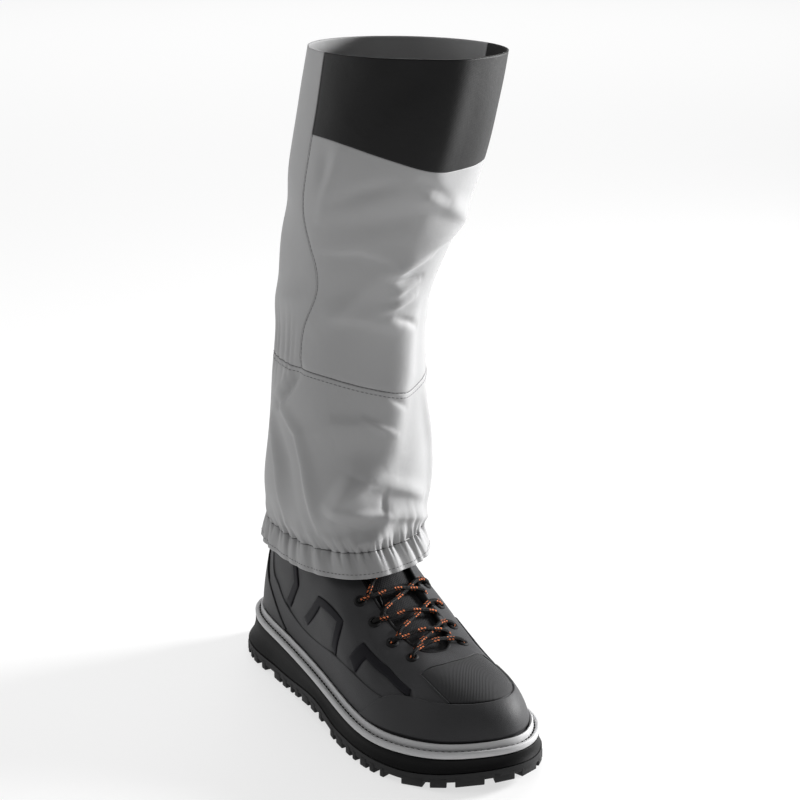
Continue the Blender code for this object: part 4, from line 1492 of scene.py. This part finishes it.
eyelet_bm = bmesh.new()
for row in ALL_EYELET_ROWS:
    centre, out, climb = eyelet_axes(row)
    profile = [eyelet_bm.verts.new(centre + climb * p.radius + out * p.lift) for p in EYELET_PROFILE]
    edges = [eyelet_bm.edges.new(pair) for pair in zip(profile, profile[1:] + profile[:1])]
    bmesh.ops.spin(
        eyelet_bm,
        geom=profile + edges,
        cent=centre,
        axis=out,
        angle=2 * math.pi,
        steps=EYELET_STEPS,
        use_merge=True,
    )
bmesh.ops.remove_doubles(eyelet_bm, verts=eyelet_bm.verts, dist=1e-5)
bmesh.ops.recalc_face_normals(eyelet_bm, faces=eyelet_bm.faces)
eyelet_nodes = [f"eyelet_{side}_{n}" for side in ("outer", "inner") for n in range(1, len(EYELET_ROWS) + 1)]
finish_piece("eyelet_rings", eyelet_bm, PIPING, eyelet_nodes)

# %% [markdown]
# ## The lace
#
# A round braided lace with orange flecks closes the boot. It starts as a bar over the first pair of
# eyelets. From there on it comes up from under the edge of the throat, crosses over the tongue and goes
# down through the next eyelet of the other side. Each crossing is one short cord through a few given
# heights, and the strands of one direction pass over those of the other.

# %% Place the stops of the lace
LACE_RADIUS = 0.0016
THROAT_EDGE = 1.0  # level
EDGE_CLEARANCE = LACE_RADIUS + 0.0012
RING_CLEARANCE = LACE_RADIUS + 0.0010
CROSSING_RISE = 0.0024
OVER_UNDER = 0.0016
BAR_RISE = 0.0022


class Lean(NamedTuple):
    """How a strand slants: shares of the step between two eyelets that it is off the row of its own eyelet at
    the near edge, and off the row that it makes for at the far edge."""

    near: float
    far: float


OUTER_LEAN = Lean(0.30, 0.45)
INNER_LEAN = Lean(0.12, 0.00)
BAR_SHIFT = 0.28  # rows towards the toe


def lifted(point, height):
    return point + Vector((0, 0, height))


def eyelet_stops(row, edge_row, edge_out):
    """The first stops of a strand: inside its eyelet, on the ring, beside it and over the throat's edge."""
    centre, out, _ = eyelet_axes(row)
    edge = spot(edge_row, THROAT_EDGE) + edge_out * EDGE_CLEARANCE
    raised = (centre + out * RING_CLEARANCE).lerp(edge, 0.30)
    return [centre - out * 0.0045, centre + out * 0.0010, raised, edge]


def lace_stops(row_from, row_to, over, lean):
    """Stops of one crossing, from its eyelet back over the tongue and under the other edge of the throat."""
    step = LOOP_ROWS - row_to - row_from
    near_row, far_row = row_from + lean.near * step, row_to + lean.far * step
    start = eyelet_stops(row_from, near_row, eyelet_axes(near_row)[1])
    edge = start[-1]
    _, far_out, far_climb = eyelet_axes(far_row)
    far_edge = spot(far_row, THROAT_EDGE)
    under = far_edge + far_out * 0.0008
    hidden = far_edge - far_climb * 0.0065 - far_out * 0.0040
    middle = lifted((edge + under) / 2, CROSSING_RISE + OVER_UNDER * over)
    near_side = lifted(edge.lerp(middle, 0.5), 0.0009)
    far_side = lifted(middle.lerp(under, 0.5), 0.0008)
    return start + [near_side, middle, far_side, under, hidden]


def bar_stops(row):
    """Stops of the bar: up through one eyelet of the first pair, across and down through the other."""
    halves = []
    for one, shift in ((row, BAR_SHIFT), (LOOP_ROWS - row, -BAR_SHIFT)):
        halves.append(eyelet_stops(one, one + shift, eyelet_axes(one)[1]))
    middle = lifted((halves[0][-1] + halves[1][-1]) / 2, BAR_RISE)
    return halves[0] + [middle] + halves[1][::-1]


print("crossings:", 2 * (len(EYELET_ROWS) - 1))

# %% [markdown]
# A smooth curve through the stops becomes a round tube. Its UV map counts metres along the strand, and the
# count starts a little later from one crossing to the next, so that the flecks don't line up.

# %% Thread the lace
LACE_SIDES = 12
LACE_STEP = 0.0011
FLECK_SHIFTS = (0.003, 0.007)  # metres from one crossing's flecks to the next, outer and inner


def smooth_path(stops):
    """A smooth path through the stops, in even steps."""
    reach = path_reach(np.array(stops))
    return cubic(reach, np.array(stops))(np.linspace(0, reach[-1], int(reach[-1] / LACE_STEP)))


def add_cord(bm, path, start_at=0.0):
    """Adds a round cord with a UV map that runs round it once and along it in metres."""
    cord = lofted(tube_rings(path, LACE_RADIUS, LACE_SIDES))
    reach = start_at + path_reach(path)
    cloth = cord.loops.layers.uv.new("cloth")
    cord.verts.index_update()
    for face in cord.faces:
        rounds = [corner.vert.index % LACE_SIDES / LACE_SIDES for corner in face.loops]
        seam = max(rounds) - min(rounds) > 0.5
        for corner, share in zip(face.loops, rounds):
            u = share + 1 if seam and share < 0.5 else share
            corner[cloth].uv = (u, reach[corner.vert.index // LACE_SIDES])
    part = bpy.data.meshes.new("cord_part")
    cord.to_mesh(part)
    cord.free()
    bm.from_mesh(part)
    bpy.data.meshes.remove(part)


lace_bm = bmesh.new()
add_cord(lace_bm, smooth_path(bar_stops(EYELET_ROWS[0])))
for i, (low_row, high_row) in enumerate(zip(EYELET_ROWS, EYELET_ROWS[1:])):
    outer = lace_stops(high_row, LOOP_ROWS - low_row, 1, OUTER_LEAN)
    inner = lace_stops(LOOP_ROWS - high_row, low_row, -1, INNER_LEAN)
    for stops, shift in zip((outer, inner), FLECK_SHIFTS):
        add_cord(lace_bm, smooth_path(stops), shift * i)
finish_piece("flecked_lace", lace_bm, FLECKED_LACE, ("lace",), sharp_deg=70)

# %% [markdown]
# ## The wader leg
#
# The leg is a tube of cloth sewn from panels. Its plain form is a stack of ovals. On that lie folds placed
# where the photograph shows them: soft ridges and troughs along short lines, and puckers where elastic
# draws the cloth together. All panels read the same fold map, so they meet along the seams.

# %% Shape the plain leg
LEG_TOP = 0.475
LEG_WALL = 0.0012
HEM_HEIGHT = 0.1094
HEM_SWING = 0.0050
HEM_LOW_DEG = 85.0
CUFF_HEIGHT = 0.0175
YOKE_HEIGHT = 0.240
SAG_REACH = 0.09
LEG_RADIUS = 0.058
METRES_PER_DEGREE = math.radians(1) * LEG_RADIUS


class Ring(NamedTuple):
    """A level of the wader leg: an oval that is round at the front and the back."""

    height: float
    centre_x: float
    centre_y: float
    half_depth: float
    half_width: float
    fullness: float


RINGS = (
    Ring(0.090, 0.1050, 0.003, 0.0752, 0.0512, 2.50),
    Ring(0.107, 0.1050, 0.003, 0.0738, 0.0504, 2.50),
    Ring(0.128, 0.1035, 0.004, 0.0668, 0.0470, 2.45),
    Ring(0.150, 0.1030, 0.005, 0.0670, 0.0510, 2.35),
    Ring(0.190, 0.1050, 0.006, 0.0645, 0.0525, 2.15),
    Ring(0.240, 0.1080, 0.006, 0.0600, 0.0515, 2.05),
    Ring(0.300, 0.1150, 0.006, 0.0600, 0.0495, 2.00),
    Ring(0.350, 0.1285, 0.010, 0.0680, 0.0560, 2.00),
    Ring(0.400, 0.1420, 0.016, 0.0745, 0.0610, 2.00),
    Ring(0.480, 0.1580, 0.024, 0.0755, 0.0620, 2.00),
)
LEG_RINGS = cubic([row.height for row in RINGS], [row[1:] for row in RINGS])


class SeamPoint(NamedTuple):
    """A point of the side seams, as turns from the front of the leg."""

    height: float
    outer_deg: float
    inner_deg: float


SIDE_SEAM = (
    SeamPoint(0.236, 76.0, 70.0),
    SeamPoint(0.255, 76.0, 70.0),
    SeamPoint(0.285, 75.0, 70.0),
    SeamPoint(0.309, 68.0, 72.0),
    SeamPoint(0.332, 72.0, 76.0),
    SeamPoint(0.366, 88.0, 80.0),
    SeamPoint(0.398, 91.0, 82.0),
    SeamPoint(0.480, 93.0, 84.0),
)
LEG_SEAMS = cubic([p.height for p in SIDE_SEAM], [(p.outer_deg, p.inner_deg) for p in SIDE_SEAM])


class CrossPoint(NamedTuple):
    """A point of the cross seam under the shin and the calf."""

    turn_deg: float
    height: float


CROSS_SEAM = (
    CrossPoint(-10.0, 0.239),
    CrossPoint(15.0, 0.243),
    CrossPoint(28.0, 0.246),
    CrossPoint(50.0, 0.251),
    CrossPoint(76.0, 0.254),
    CrossPoint(120.0, 0.255),
    CrossPoint(200.0, 0.254),
    CrossPoint(290.0, 0.249),
    CrossPoint(326.0, 0.243),
)
CROSS_CURVE = cubic([p.turn_deg for p in CROSS_SEAM], [p.height for p in CROSS_SEAM], 360.0)


def cross_seam(turn_deg):
    """Height of the cross seam, which drops towards the front."""
    return CROSS_CURVE(turn_deg)[:, 0]


def hem_edge(turn_deg):
    """Height of the hem's lower edge, which hangs lowest before the outer ankle."""
    return HEM_HEIGHT - HEM_SWING * np.cos(np.radians(np.asarray(turn_deg) - HEM_LOW_DEG))


def plain_leg(turn_deg, height):
    """Points on the plain leg: turn runs from the front towards the outer side."""
    sag = (hem_edge(turn_deg) - HEM_HEIGHT) * np.clip((YOKE_HEIGHT - height) / SAG_REACH, 0, 1)
    centre_x, centre_y, depth, width, fullness = LEG_RINGS(height - sag).T
    ahead, aside = np.cos(np.radians(turn_deg)), np.sin(np.radians(turn_deg))
    reach = (np.abs(ahead) ** fullness + np.abs(aside) ** fullness) ** (-1 / fullness)
    return np.column_stack([centre_x + depth * reach * ahead, centre_y - width * reach * aside, height])


KNEE_LOW = 0.401
KNEE_LOW_ACROSS = 0.45  # share of the panel's width from the inner seam
KNEE_OUTER_RISE = 0.0195
KNEE_INNER_RISE = 0.010


def knee_edge(across):
    """Height of the lower edge of the knee panel, from the inner to the outer seam."""
    outer = np.clip((np.asarray(across) - KNEE_LOW_ACROSS) / (1 - KNEE_LOW_ACROSS), 0, 1)
    inner = np.clip((KNEE_LOW_ACROSS - np.asarray(across)) / KNEE_LOW_ACROSS, 0, 1)
    return KNEE_LOW + KNEE_OUTER_RISE * outer**2 * (3 - 2 * outer) + KNEE_INNER_RISE * inner**2


print("leg height:", LEG_TOP)

# %% [markdown]
# Folds first: a fold is a bent line in turns and heights with a rise and a width for either side. Its
# cross-section is a soft bell, steep on one side if the cloth breaks there, and it fades out at its ends. A
# simulated cloth would fall into folds of its own, so these are placed one by one, each where the photograph
# has it, with others of the same kind on the sides that it doesn't show.

# %% Place the folds
class Fold(NamedTuple):
    """A ridge, or a trough if its rise is negative, along a bent line of turns in degrees and heights.

    Going along the line as the photograph shows it, each hand has its own width of slope.
    """

    line: tuple
    left: float
    right: float
    rise: float


FOLDS = (
    # the front edge, where the light breaks
    Fold(((8, 0.474), (10, 0.440), (12, 0.405), (8, 0.372)), 0.0120, 0.0170, 0.0042),
    Fold(
        ((-12, 0.300), (-10, 0.275), (-7, 0.252), (0, 0.232), (3, 0.214), (5, 0.196), (10, 0.182)),
        0.0110, 0.0170, 0.0048,
    ),
    # the ankle, from the heel to the front
    Fold(((114, 0.207), (97, 0.175), (90, 0.134)), 0.0060, 0.0028, 0.0034),
    Fold(((102, 0.208), (86, 0.182), (77, 0.150)), 0.0060, 0.0060, -0.0018),
    Fold(((97, 0.222), (76, 0.205), (69, 0.184), (64, 0.162), (58, 0.136)), 0.0060, 0.0030, 0.0036),
    Fold(((76, 0.252), (86, 0.238), (100, 0.222)), 0.0036, 0.0060, -0.0044),
    Fold(((84, 0.252), (92, 0.240), (104, 0.228)), 0.0030, 0.0040, 0.0022),
    Fold(((62, 0.208), (48, 0.217), (30, 0.217), (12, 0.211)), 0.0060, 0.0150, 0.0022),
    Fold(((26, 0.222), (14, 0.216), (3, 0.210)), 0.0022, 0.0030, 0.0016),
    Fold(((5, 0.236), (-6, 0.229)), 0.0026, 0.0026, -0.0016),
    Fold(((32, 0.181), (46, 0.149)), 0.0190, 0.0080, 0.0100),
    Fold(((11, 0.170), (12, 0.163), (12, 0.154)), 0.0020, 0.0030, -0.0016),
    Fold(((6, 0.152), (15, 0.141), (25, 0.127)), 0.0090, 0.0060, 0.0040),
    Fold(((12, 0.186), (26, 0.176), (43, 0.160)), 0.0060, 0.0100, 0.0022),
    Fold(((48, 0.158), (32, 0.155), (20, 0.153), (5, 0.149)), 0.0034, 0.0070, 0.0028),
    Fold(((22, 0.175), (4, 0.171), (-10, 0.166), (-26, 0.158)), 0.0070, 0.0040, 0.0032),
    Fold(((8, 0.151), (-20, 0.144), (-48, 0.135)), 0.0070, 0.0042, 0.0030),
    Fold(((54, 0.136), (30, 0.144), (10, 0.146)), 0.0060, 0.0060, -0.0022),
    Fold(((38, 0.126), (26, 0.131), (12, 0.136)), 0.0040, 0.0046, 0.0020),
    # the shin, from the knee panel down
    Fold(((16, 0.395), (4, 0.387), (-6, 0.381)), 0.0040, 0.0050, -0.0026),
    Fold(((8, 0.384), (-10, 0.375), (-34, 0.364)), 0.0070, 0.0050, 0.0036),
    Fold(((-42, 0.360), (-20, 0.354), (-4, 0.347), (12, 0.338)), 0.0070, 0.0140, 0.0046),
    Fold(((12, 0.350), (14, 0.328), (8, 0.298)), 0.0100, 0.0150, 0.0038),
    Fold(((-8, 0.340), (6, 0.336), (19, 0.331)), 0.0044, 0.0060, 0.0030),
    Fold(((-8, 0.321), (2, 0.318), (12, 0.313)), 0.0030, 0.0036, 0.0020),
    Fold(((-8, 0.311), (2, 0.308), (15, 0.303)), 0.0036, 0.0044, 0.0030),
    Fold(((14, 0.324), (4, 0.323), (-10, 0.324)), 0.0026, 0.0030, -0.0022),
    Fold(((4, 0.295), (-8, 0.291), (-18, 0.286)), 0.0030, 0.0030, -0.0022),
    Fold(((64, 0.338), (42, 0.340), (20, 0.335)), 0.0040, 0.0110, -0.0019),
    Fold(((54, 0.298), (26, 0.296), (-2, 0.288)), 0.0100, 0.0060, 0.0022),
    Fold(((62, 0.286), (46, 0.302), (30, 0.320)), 0.0080, 0.0080, 0.0019),
    Fold(((77, 0.412), (77, 0.390)), 0.0045, 0.0045, -0.0018),
    Fold(((69, 0.412), (71, 0.392), (74, 0.366)), 0.0040, 0.0040, 0.0016),
    Fold(((66, 0.376), (50, 0.386), (34, 0.392)), 0.0060, 0.0060, -0.0018),
    Fold(((66, 0.359), (34, 0.366), (0, 0.375)), 0.0100, 0.0100, -0.0020),
    Fold(((108, 0.297), (94, 0.302), (80, 0.308)), 0.0080, 0.0080, 0.0018),
    # the knee panel
    Fold(((32, 0.470), (48, 0.448), (62, 0.426)), 0.0120, 0.0120, -0.0014),
    # the inner side and the calf
    Fold(((-36, 0.230), (-44, 0.190), (-40, 0.150)), 0.0080, 0.0060, 0.0030),
    Fold(((-60, 0.228), (-66, 0.190), (-60, 0.150)), 0.0080, 0.0080, -0.0026),
    Fold(((-88, 0.226), (-80, 0.190), (-84, 0.146)), 0.0060, 0.0090, 0.0030),
    Fold(((-132, 0.228), (-122, 0.190), (-118, 0.146)), 0.0080, 0.0080, -0.0028),
    Fold(((-166, 0.226), (-160, 0.190), (-164, 0.146)), 0.0060, 0.0090, 0.0030),
    Fold(((152, 0.226), (142, 0.190), (140, 0.148)), 0.0080, 0.0080, -0.0026),
    Fold(((-56, 0.290), (-80, 0.306), (-112, 0.312)), 0.0070, 0.0100, 0.0028),
    Fold(((-104, 0.334), (-132, 0.330), (-164, 0.318)), 0.0080, 0.0080, -0.0026),
    Fold(((-60, 0.346), (-84, 0.352), (-110, 0.370)), 0.0060, 0.0080, -0.0024),
    Fold(((152, 0.376), (120, 0.362), (98, 0.346)), 0.0180, 0.0180, -0.0028),
    Fold(((-88, 0.380), (-120, 0.390), (-152, 0.394)), 0.0100, 0.0100, -0.0022),
    Fold(((176, 0.300), (146, 0.292), (112, 0.294)), 0.0140, 0.0140, 0.0022),
    Fold(((166, 0.150), (166, 0.100)), 0.0200, 0.0200, 0.0031),
)


FOLD_END = 0.10  # share of a half wave at which a fold starts and ends
FOLD_END_SHAPE = 0.7


def turn_apart(turn, other):
    """Degrees from one turn to another, the short way round."""
    return np.mod(turn - other + 180, 360) - 180


def bell(away, width):
    """The height of a soft bell of this width, 1 on its middle line."""
    return np.exp(-((away / width) ** 2))


def one_fold(fold, turn, height):
    """Metres that one fold stands out: a bell across its line that fades towards both ends."""
    start = fold.line[0][0]
    line = np.array([(-turn_apart(t, start) * METRES_PER_DEGREE, h) for t, h in fold.line])
    places = np.column_stack([-turn_apart(turn, start) * METRES_PER_DEGREE, height])
    lengths = np.linalg.norm(np.diff(line, axis=0), axis=1)
    nearest = np.full(len(places), np.inf)
    reach = np.zeros(len(places))
    side = np.zeros(len(places))
    for i, length in enumerate(lengths):
        run = (line[i + 1] - line[i]) / length
        off = places - line[i]
        along = np.clip(off @ run, 0, length)
        away = np.linalg.norm(off - along[:, None] * run, axis=1)
        closer = away < nearest
        nearest = np.where(closer, away, nearest)
        reach = np.where(closer, lengths[:i].sum() + along, reach)
        off_left = (run[0] * off[:, 1] - run[1] * off[:, 0]) / np.maximum(away, 1e-9)
        side = np.where(closer, np.clip(off_left, -1, 1), side)
    share = reach / lengths.sum()
    fade = np.sin(np.pi * (FOLD_END + (1 - 2 * FOLD_END) * share)) ** FOLD_END_SHAPE
    width = fold.right + (fold.left - fold.right) * (0.5 + 0.5 * side)
    return fold.rise * fade * bell(nearest, width)


def folds(turn, height):
    """Metres that the placed folds stand out."""
    return sum(one_fold(fold, turn, height) for fold in FOLDS)


print("folds placed:", len(FOLDS))

# %% [markdown]
# Puckers are valleys round the leg that die away from the elastic. They would be tedious to place one by
# one, so a wave round the leg makes them, with a drift that keeps their distances uneven. Noise adds faint
# crumples.

# %% Gather the cloth at the elastic
class Puckers(NamedTuple):
    """Small folds at the elastic: how many go round, how deep and how sharp they are, how far they reach up
    and down from it, and the share of them that is left at the hem."""

    count: int
    depth: float
    sharp: float
    reach_up: float
    reach_down: float
    left_at_hem: float


class Swell(NamedTuple):
    """A soft band round the leg: its rise, its height above the elastic and its width."""

    rise: float
    above: float
    width: float


PUCKERS = (
    Puckers(61, 0.0034, 3.0, 0.0040, 0.0040, 0.0),
    Puckers(27, 0.0037, 1.6, 0.0080, 0.0100, 0.40),
)
PUCKER_DRIFT = ((3, 0.7, 1.1), (7, 2.6, 0.9), (13, 4.4, 0.7))  # waves round the leg, phase and size
PUCKER_SLANT_DEG = 260.0  # for each metre above the elastic
ELASTIC_BANDS = (Swell(-0.0003, 0.0, 0.0020), Swell(0.0010, 0.008, 0.006), Swell(0.0005, -0.009, 0.007))
SHIRR_COUNT = 46
SHIRR_DEPTH = 0.0017
SHIRR_SHARP = 2.2
SHIRR_SHIFT_DEG = 4
SHIRR_FADE_DEG = (90, 104)  # from the middle of the back
SHIRR_BAND = Swell(1.0, 0.010, 0.022)  # above the cross seam
CRUMPLES = ((0.055, 0.0010), (0.022, 0.0004))  # scale and rise
CRUMPLE_STRETCH = 1.6


def valleys(turn, count, sharp):
    """Narrow valleys round the leg at uneven distances, from 0 to -1."""
    angle = np.radians(turn)
    drift = sum(size * np.sin(n * angle + phase) for n, phase, size in PUCKER_DRIFT)
    slow = np.sin(5 * angle + 0.8 + count)
    quick = np.sin(17 * angle + 2.0) * np.sin(11 * angle)
    return -(0.72 + 0.18 * slow + 0.16 * quick) * (0.5 + 0.5 * np.cos(count * angle + drift)) ** sharp


def gathers(turn, height):
    """Metres that the puckers at the elastic and behind the calf stand out."""
    above = height - hem_edge(turn) - CUFF_HEIGHT
    slanted = turn - PUCKER_SLANT_DEG * above
    total = sum(band.rise * bell(above - band.above, band.width) for band in ELASTIC_BANDS)
    for kind in PUCKERS:
        down = kind.left_at_hem + (1 - kind.left_at_hem) * np.exp(np.minimum(above, 0) / kind.reach_down)
        spread = np.where(above > 0, np.exp(-above / kind.reach_up), down)
        total += kind.depth * spread * valleys(slanted, kind.count, kind.sharp)
    behind = np.interp(np.abs(turn_apart(turn, 180)), SHIRR_FADE_DEG, (1, 0))
    shirr = behind * bell(height - cross_seam(turn) - SHIRR_BAND.above, SHIRR_BAND.width)
    return total + SHIRR_DEPTH * shirr * valleys(turn + SHIRR_SHIFT_DEG, SHIRR_COUNT, SHIRR_SHARP)


def crumples(points):
    """Uneven swells over the whole leg, in metres: each scale of noise has its own height."""
    total = np.zeros(len(points))
    for scale, rise in CRUMPLES:
        stretched = points / (scale, scale, CRUMPLE_STRETCH * scale)
        total += rise * np.array([noise.noise(Vector(point)) for point in stretched])
    return total


print("puckers at the elastic:", [kind.count for kind in PUCKERS])

# %% [markdown]
# A sewn seam pulls the cloth down a little, so a narrow dip follows each seam. The last helper adds up
# folds, puckers, crumples and dips, and moves a point of the plain leg outwards by the sum.

# %% Add up the folded leg
CROSS_DIP = (0.0002, 0.0016)  # depth and width
SIDE_DIP = (0.0003, 0.0022)
SMALL_TURN_DEG = 0.5
SMALL_RISE = 0.001


def seam_dip(turn, height):
    """A narrow dip along the sewn lines, where the cloth is pulled down."""
    from_cross = height - cross_seam(turn)
    outer, inner = LEG_SEAMS(np.clip(height, SIDE_SEAM[0].height, SIDE_SEAM[-1].height)).T
    from_side = np.minimum(np.abs(turn_apart(turn, outer)), np.abs(turn_apart(turn, -inner)))
    side = SIDE_DIP[0] * bell(from_side * METRES_PER_DEGREE, SIDE_DIP[1]) * (from_cross > 0)
    return -np.maximum(CROSS_DIP[0] * bell(from_cross, CROSS_DIP[1]), side)


def leg_point(turn, height, lift=0.0):
    """Points on the outside of the folded leg, moved out by lift."""
    turn = np.broadcast_to(np.asarray(turn, float), np.shape(height))
    plain = plain_leg(turn, height)
    around = plain_leg(turn + SMALL_TURN_DEG, height) - plain_leg(turn - SMALL_TURN_DEG, height)
    rise = plain_leg(turn, height + SMALL_RISE) - plain_leg(turn, height - SMALL_RISE)
    out = np.cross(rise, around)
    out /= np.linalg.norm(out, axis=1)[:, None]
    move = folds(turn, height) + gathers(turn, height) + crumples(plain) + seam_dip(turn, height)
    return plain + out * (move + LEG_WALL + lift)[:, None]


front_low = leg_point(np.zeros(1), np.array([YOKE_HEIGHT]))[0]
print("front of the leg below the knee:", [round(float(x), 3) for x in front_low])

# %% [markdown]
# ## The panels of the leg
#
# Five panels are sewn together: the gathered cuff, the lower leg, the shin, the calf and the dark knee.
# Each one is laid on the folded leg between its own seams, and a wall modifier gives it the thickness of
# the laminate.

# %% Sew the cuff and the lower leg
CUFF_GAP = 0.0003


def cuff_place(across, up):
    turn = across * 360
    return leg_point(turn, hem_edge(turn) + (CUFF_HEIGHT - CUFF_GAP) * up)


def lower_leg_place(across, up):
    turn = across * 360
    low = hem_edge(turn) + CUFF_HEIGHT
    return leg_point(turn, low + (cross_seam(turn) - low) * up**1.35)


def cloth_panel(place, columns, rows, size, wrap=False):
    """A panel of the leg that faces outwards, so that its wall grows inwards."""
    bm = laid_grid(place, columns, rows, size, wrap)
    bmesh.ops.reverse_faces(bm, faces=bm.faces)
    return bm


HEM_FLAT = (0.400, 0.0185)
LOWER_LEG_FLAT = (0.385, 0.126)
cuff_bm = cloth_panel(cuff_place, 480, 24, HEM_FLAT, wrap=True)
cuff = finish_piece("gathered_cuff", cuff_bm, GREY_CLOTH, ("hem_cuff",), wall=LEG_WALL)
lower_bm = cloth_panel(lower_leg_place, 480, 96, LOWER_LEG_FLAT, wrap=True)
lower_leg = finish_piece(
    "folded_lower_leg", lower_bm, GREY_CLOTH, ("lower_leg",), wall=LEG_WALL
)

# %% [markdown]
# The shin and the dark knee lie between the two side seams at the front, and the calf panel closes the leg
# behind. Their edges read the same seam curves, so they meet without a gap.

# %% Sew the shin, the knee and the calf
def seam_turns(outer_height, inner_height):
    """Turns of the outer and the inner side seam at these heights, in degrees from the front."""
    return LEG_SEAMS(outer_height)[:, 0], -LEG_SEAMS(inner_height)[:, 1]


SEAM_FEET = (-SIDE_SEAM[0].inner_deg, SIDE_SEAM[0].outer_deg)
CALF_GAP_DEG = 0.2


def shin_height(across, up):
    low = cross_seam(SEAM_FEET[0] + (SEAM_FEET[1] - SEAM_FEET[0]) * np.asarray(across))
    return low + (knee_edge(across) - low) * up


def knee_height(across, up):
    return knee_edge(across) + (LEG_TOP - knee_edge(across)) * up


def front_place(height_of):
    """Places a panel between the two side seams; height_of gives its heights."""

    def place(across, up):
        outer, inner = seam_turns(height_of(1, up), height_of(0, up))
        return leg_point(inner + (outer - inner) * across, height_of(across, up))

    return place


def calf_place(across, up):
    low = cross_seam(SEAM_FEET[1] + (360 + SEAM_FEET[0] - SEAM_FEET[1]) * across)
    height = low + (LEG_TOP - low) * up
    outer, inner = seam_turns(height, height)
    start, end = outer + CALF_GAP_DEG, inner + 360 - CALF_GAP_DEG
    return leg_point(start + (end - start) * across, height)


SHIN_FLAT = (0.160, 0.160)
KNEE_FLAT = (0.200, 0.068)
CALF_FLAT = (0.235, 0.226)
shin_bm = cloth_panel(front_place(shin_height), 160, 160, SHIN_FLAT)
shin = finish_piece("shin_panel", shin_bm, GREY_CLOTH, ("front_panel",), wall=LEG_WALL)
knee_bm = cloth_panel(front_place(knee_height), 150, 60, KNEE_FLAT)
knee = finish_piece("dark_knee_panel", knee_bm, BLACK_CLOTH, ("knee_panel",), wall=LEG_WALL)
calf_bm = cloth_panel(calf_place, 220, 180, CALF_FLAT)
calf = finish_piece("calf_panel", calf_bm, GREY_CLOTH, ("back_panel",), wall=LEG_WALL)

# %% [markdown]
# ## Stitches of the leg
#
# Dark thread shows along the side seams, the cross seam and near the hem. The seams are lines on the folded
# leg, walked in even steps, with one small stretched ball for each stitch. Along the edges of the panels they
# touch end to end, so that the eye sees one thin line. The second row of the cross seam and the row near the
# hem stay apart.

# %% Sew the seams
LEG_STITCH_PITCH = 0.0032
LEG_STITCH = (0.0013, 0.00022, 0.00020)  # half its length, width and height
EDGE_STITCH = (0.0018, 0.00022, 0.00016)
SIDE_STITCH_TOP = 0.472
SIDE_STITCH_DEG = 0.8  # in front of the seam


def sew(bm, line, stitch):
    """Adds stitches along a line of the leg: line takes shares and gives turns and heights."""
    shares = np.linspace(0.0, 1.0, 1201)
    middles = even_steps(leg_point(*line(shares)), shares, LEG_STITCH_PITCH)
    turn, height = line(middles)
    points = leg_point(turn, height, 0.0001)
    runs = leg_point(*line(middles + 0.002)) - leg_point(*line(middles - 0.002))
    normals = leg_point(turn, height, 0.001) - leg_point(turn, height)
    return add_stitches(bm, points, runs, normals, stitch)


def side_line(side):
    """The stitched line of a side seam: side is 1 for the outer seam and -1 for the inner one."""

    def line(share):
        low = cross_seam(SEAM_FEET[1] if side > 0 else SEAM_FEET[0])
        height = low + (SIDE_STITCH_TOP - low) * share
        turns = LEG_SEAMS(height)[:, 0 if side > 0 else 1]
        return side * (turns - SIDE_STITCH_DEG), height

    return line


def cross_line(offset):
    return lambda share: (share * 360, cross_seam(share * 360) + offset)


def hem_line(offset):
    return lambda share: (share * 360, hem_edge(share * 360) + offset)


thread_bm = bmesh.new()
for line in (side_line(1), side_line(-1), cross_line(-0.0003)):
    sew(thread_bm, line, EDGE_STITCH)
for line in (cross_line(-0.0038), hem_line(0.0030)):
    sew(thread_bm, line, LEG_STITCH)
bmesh.ops.recalc_face_normals(thread_bm, faces=thread_bm.faces)
finish_piece("leg_stitches", thread_bm, SEAM_THREAD)
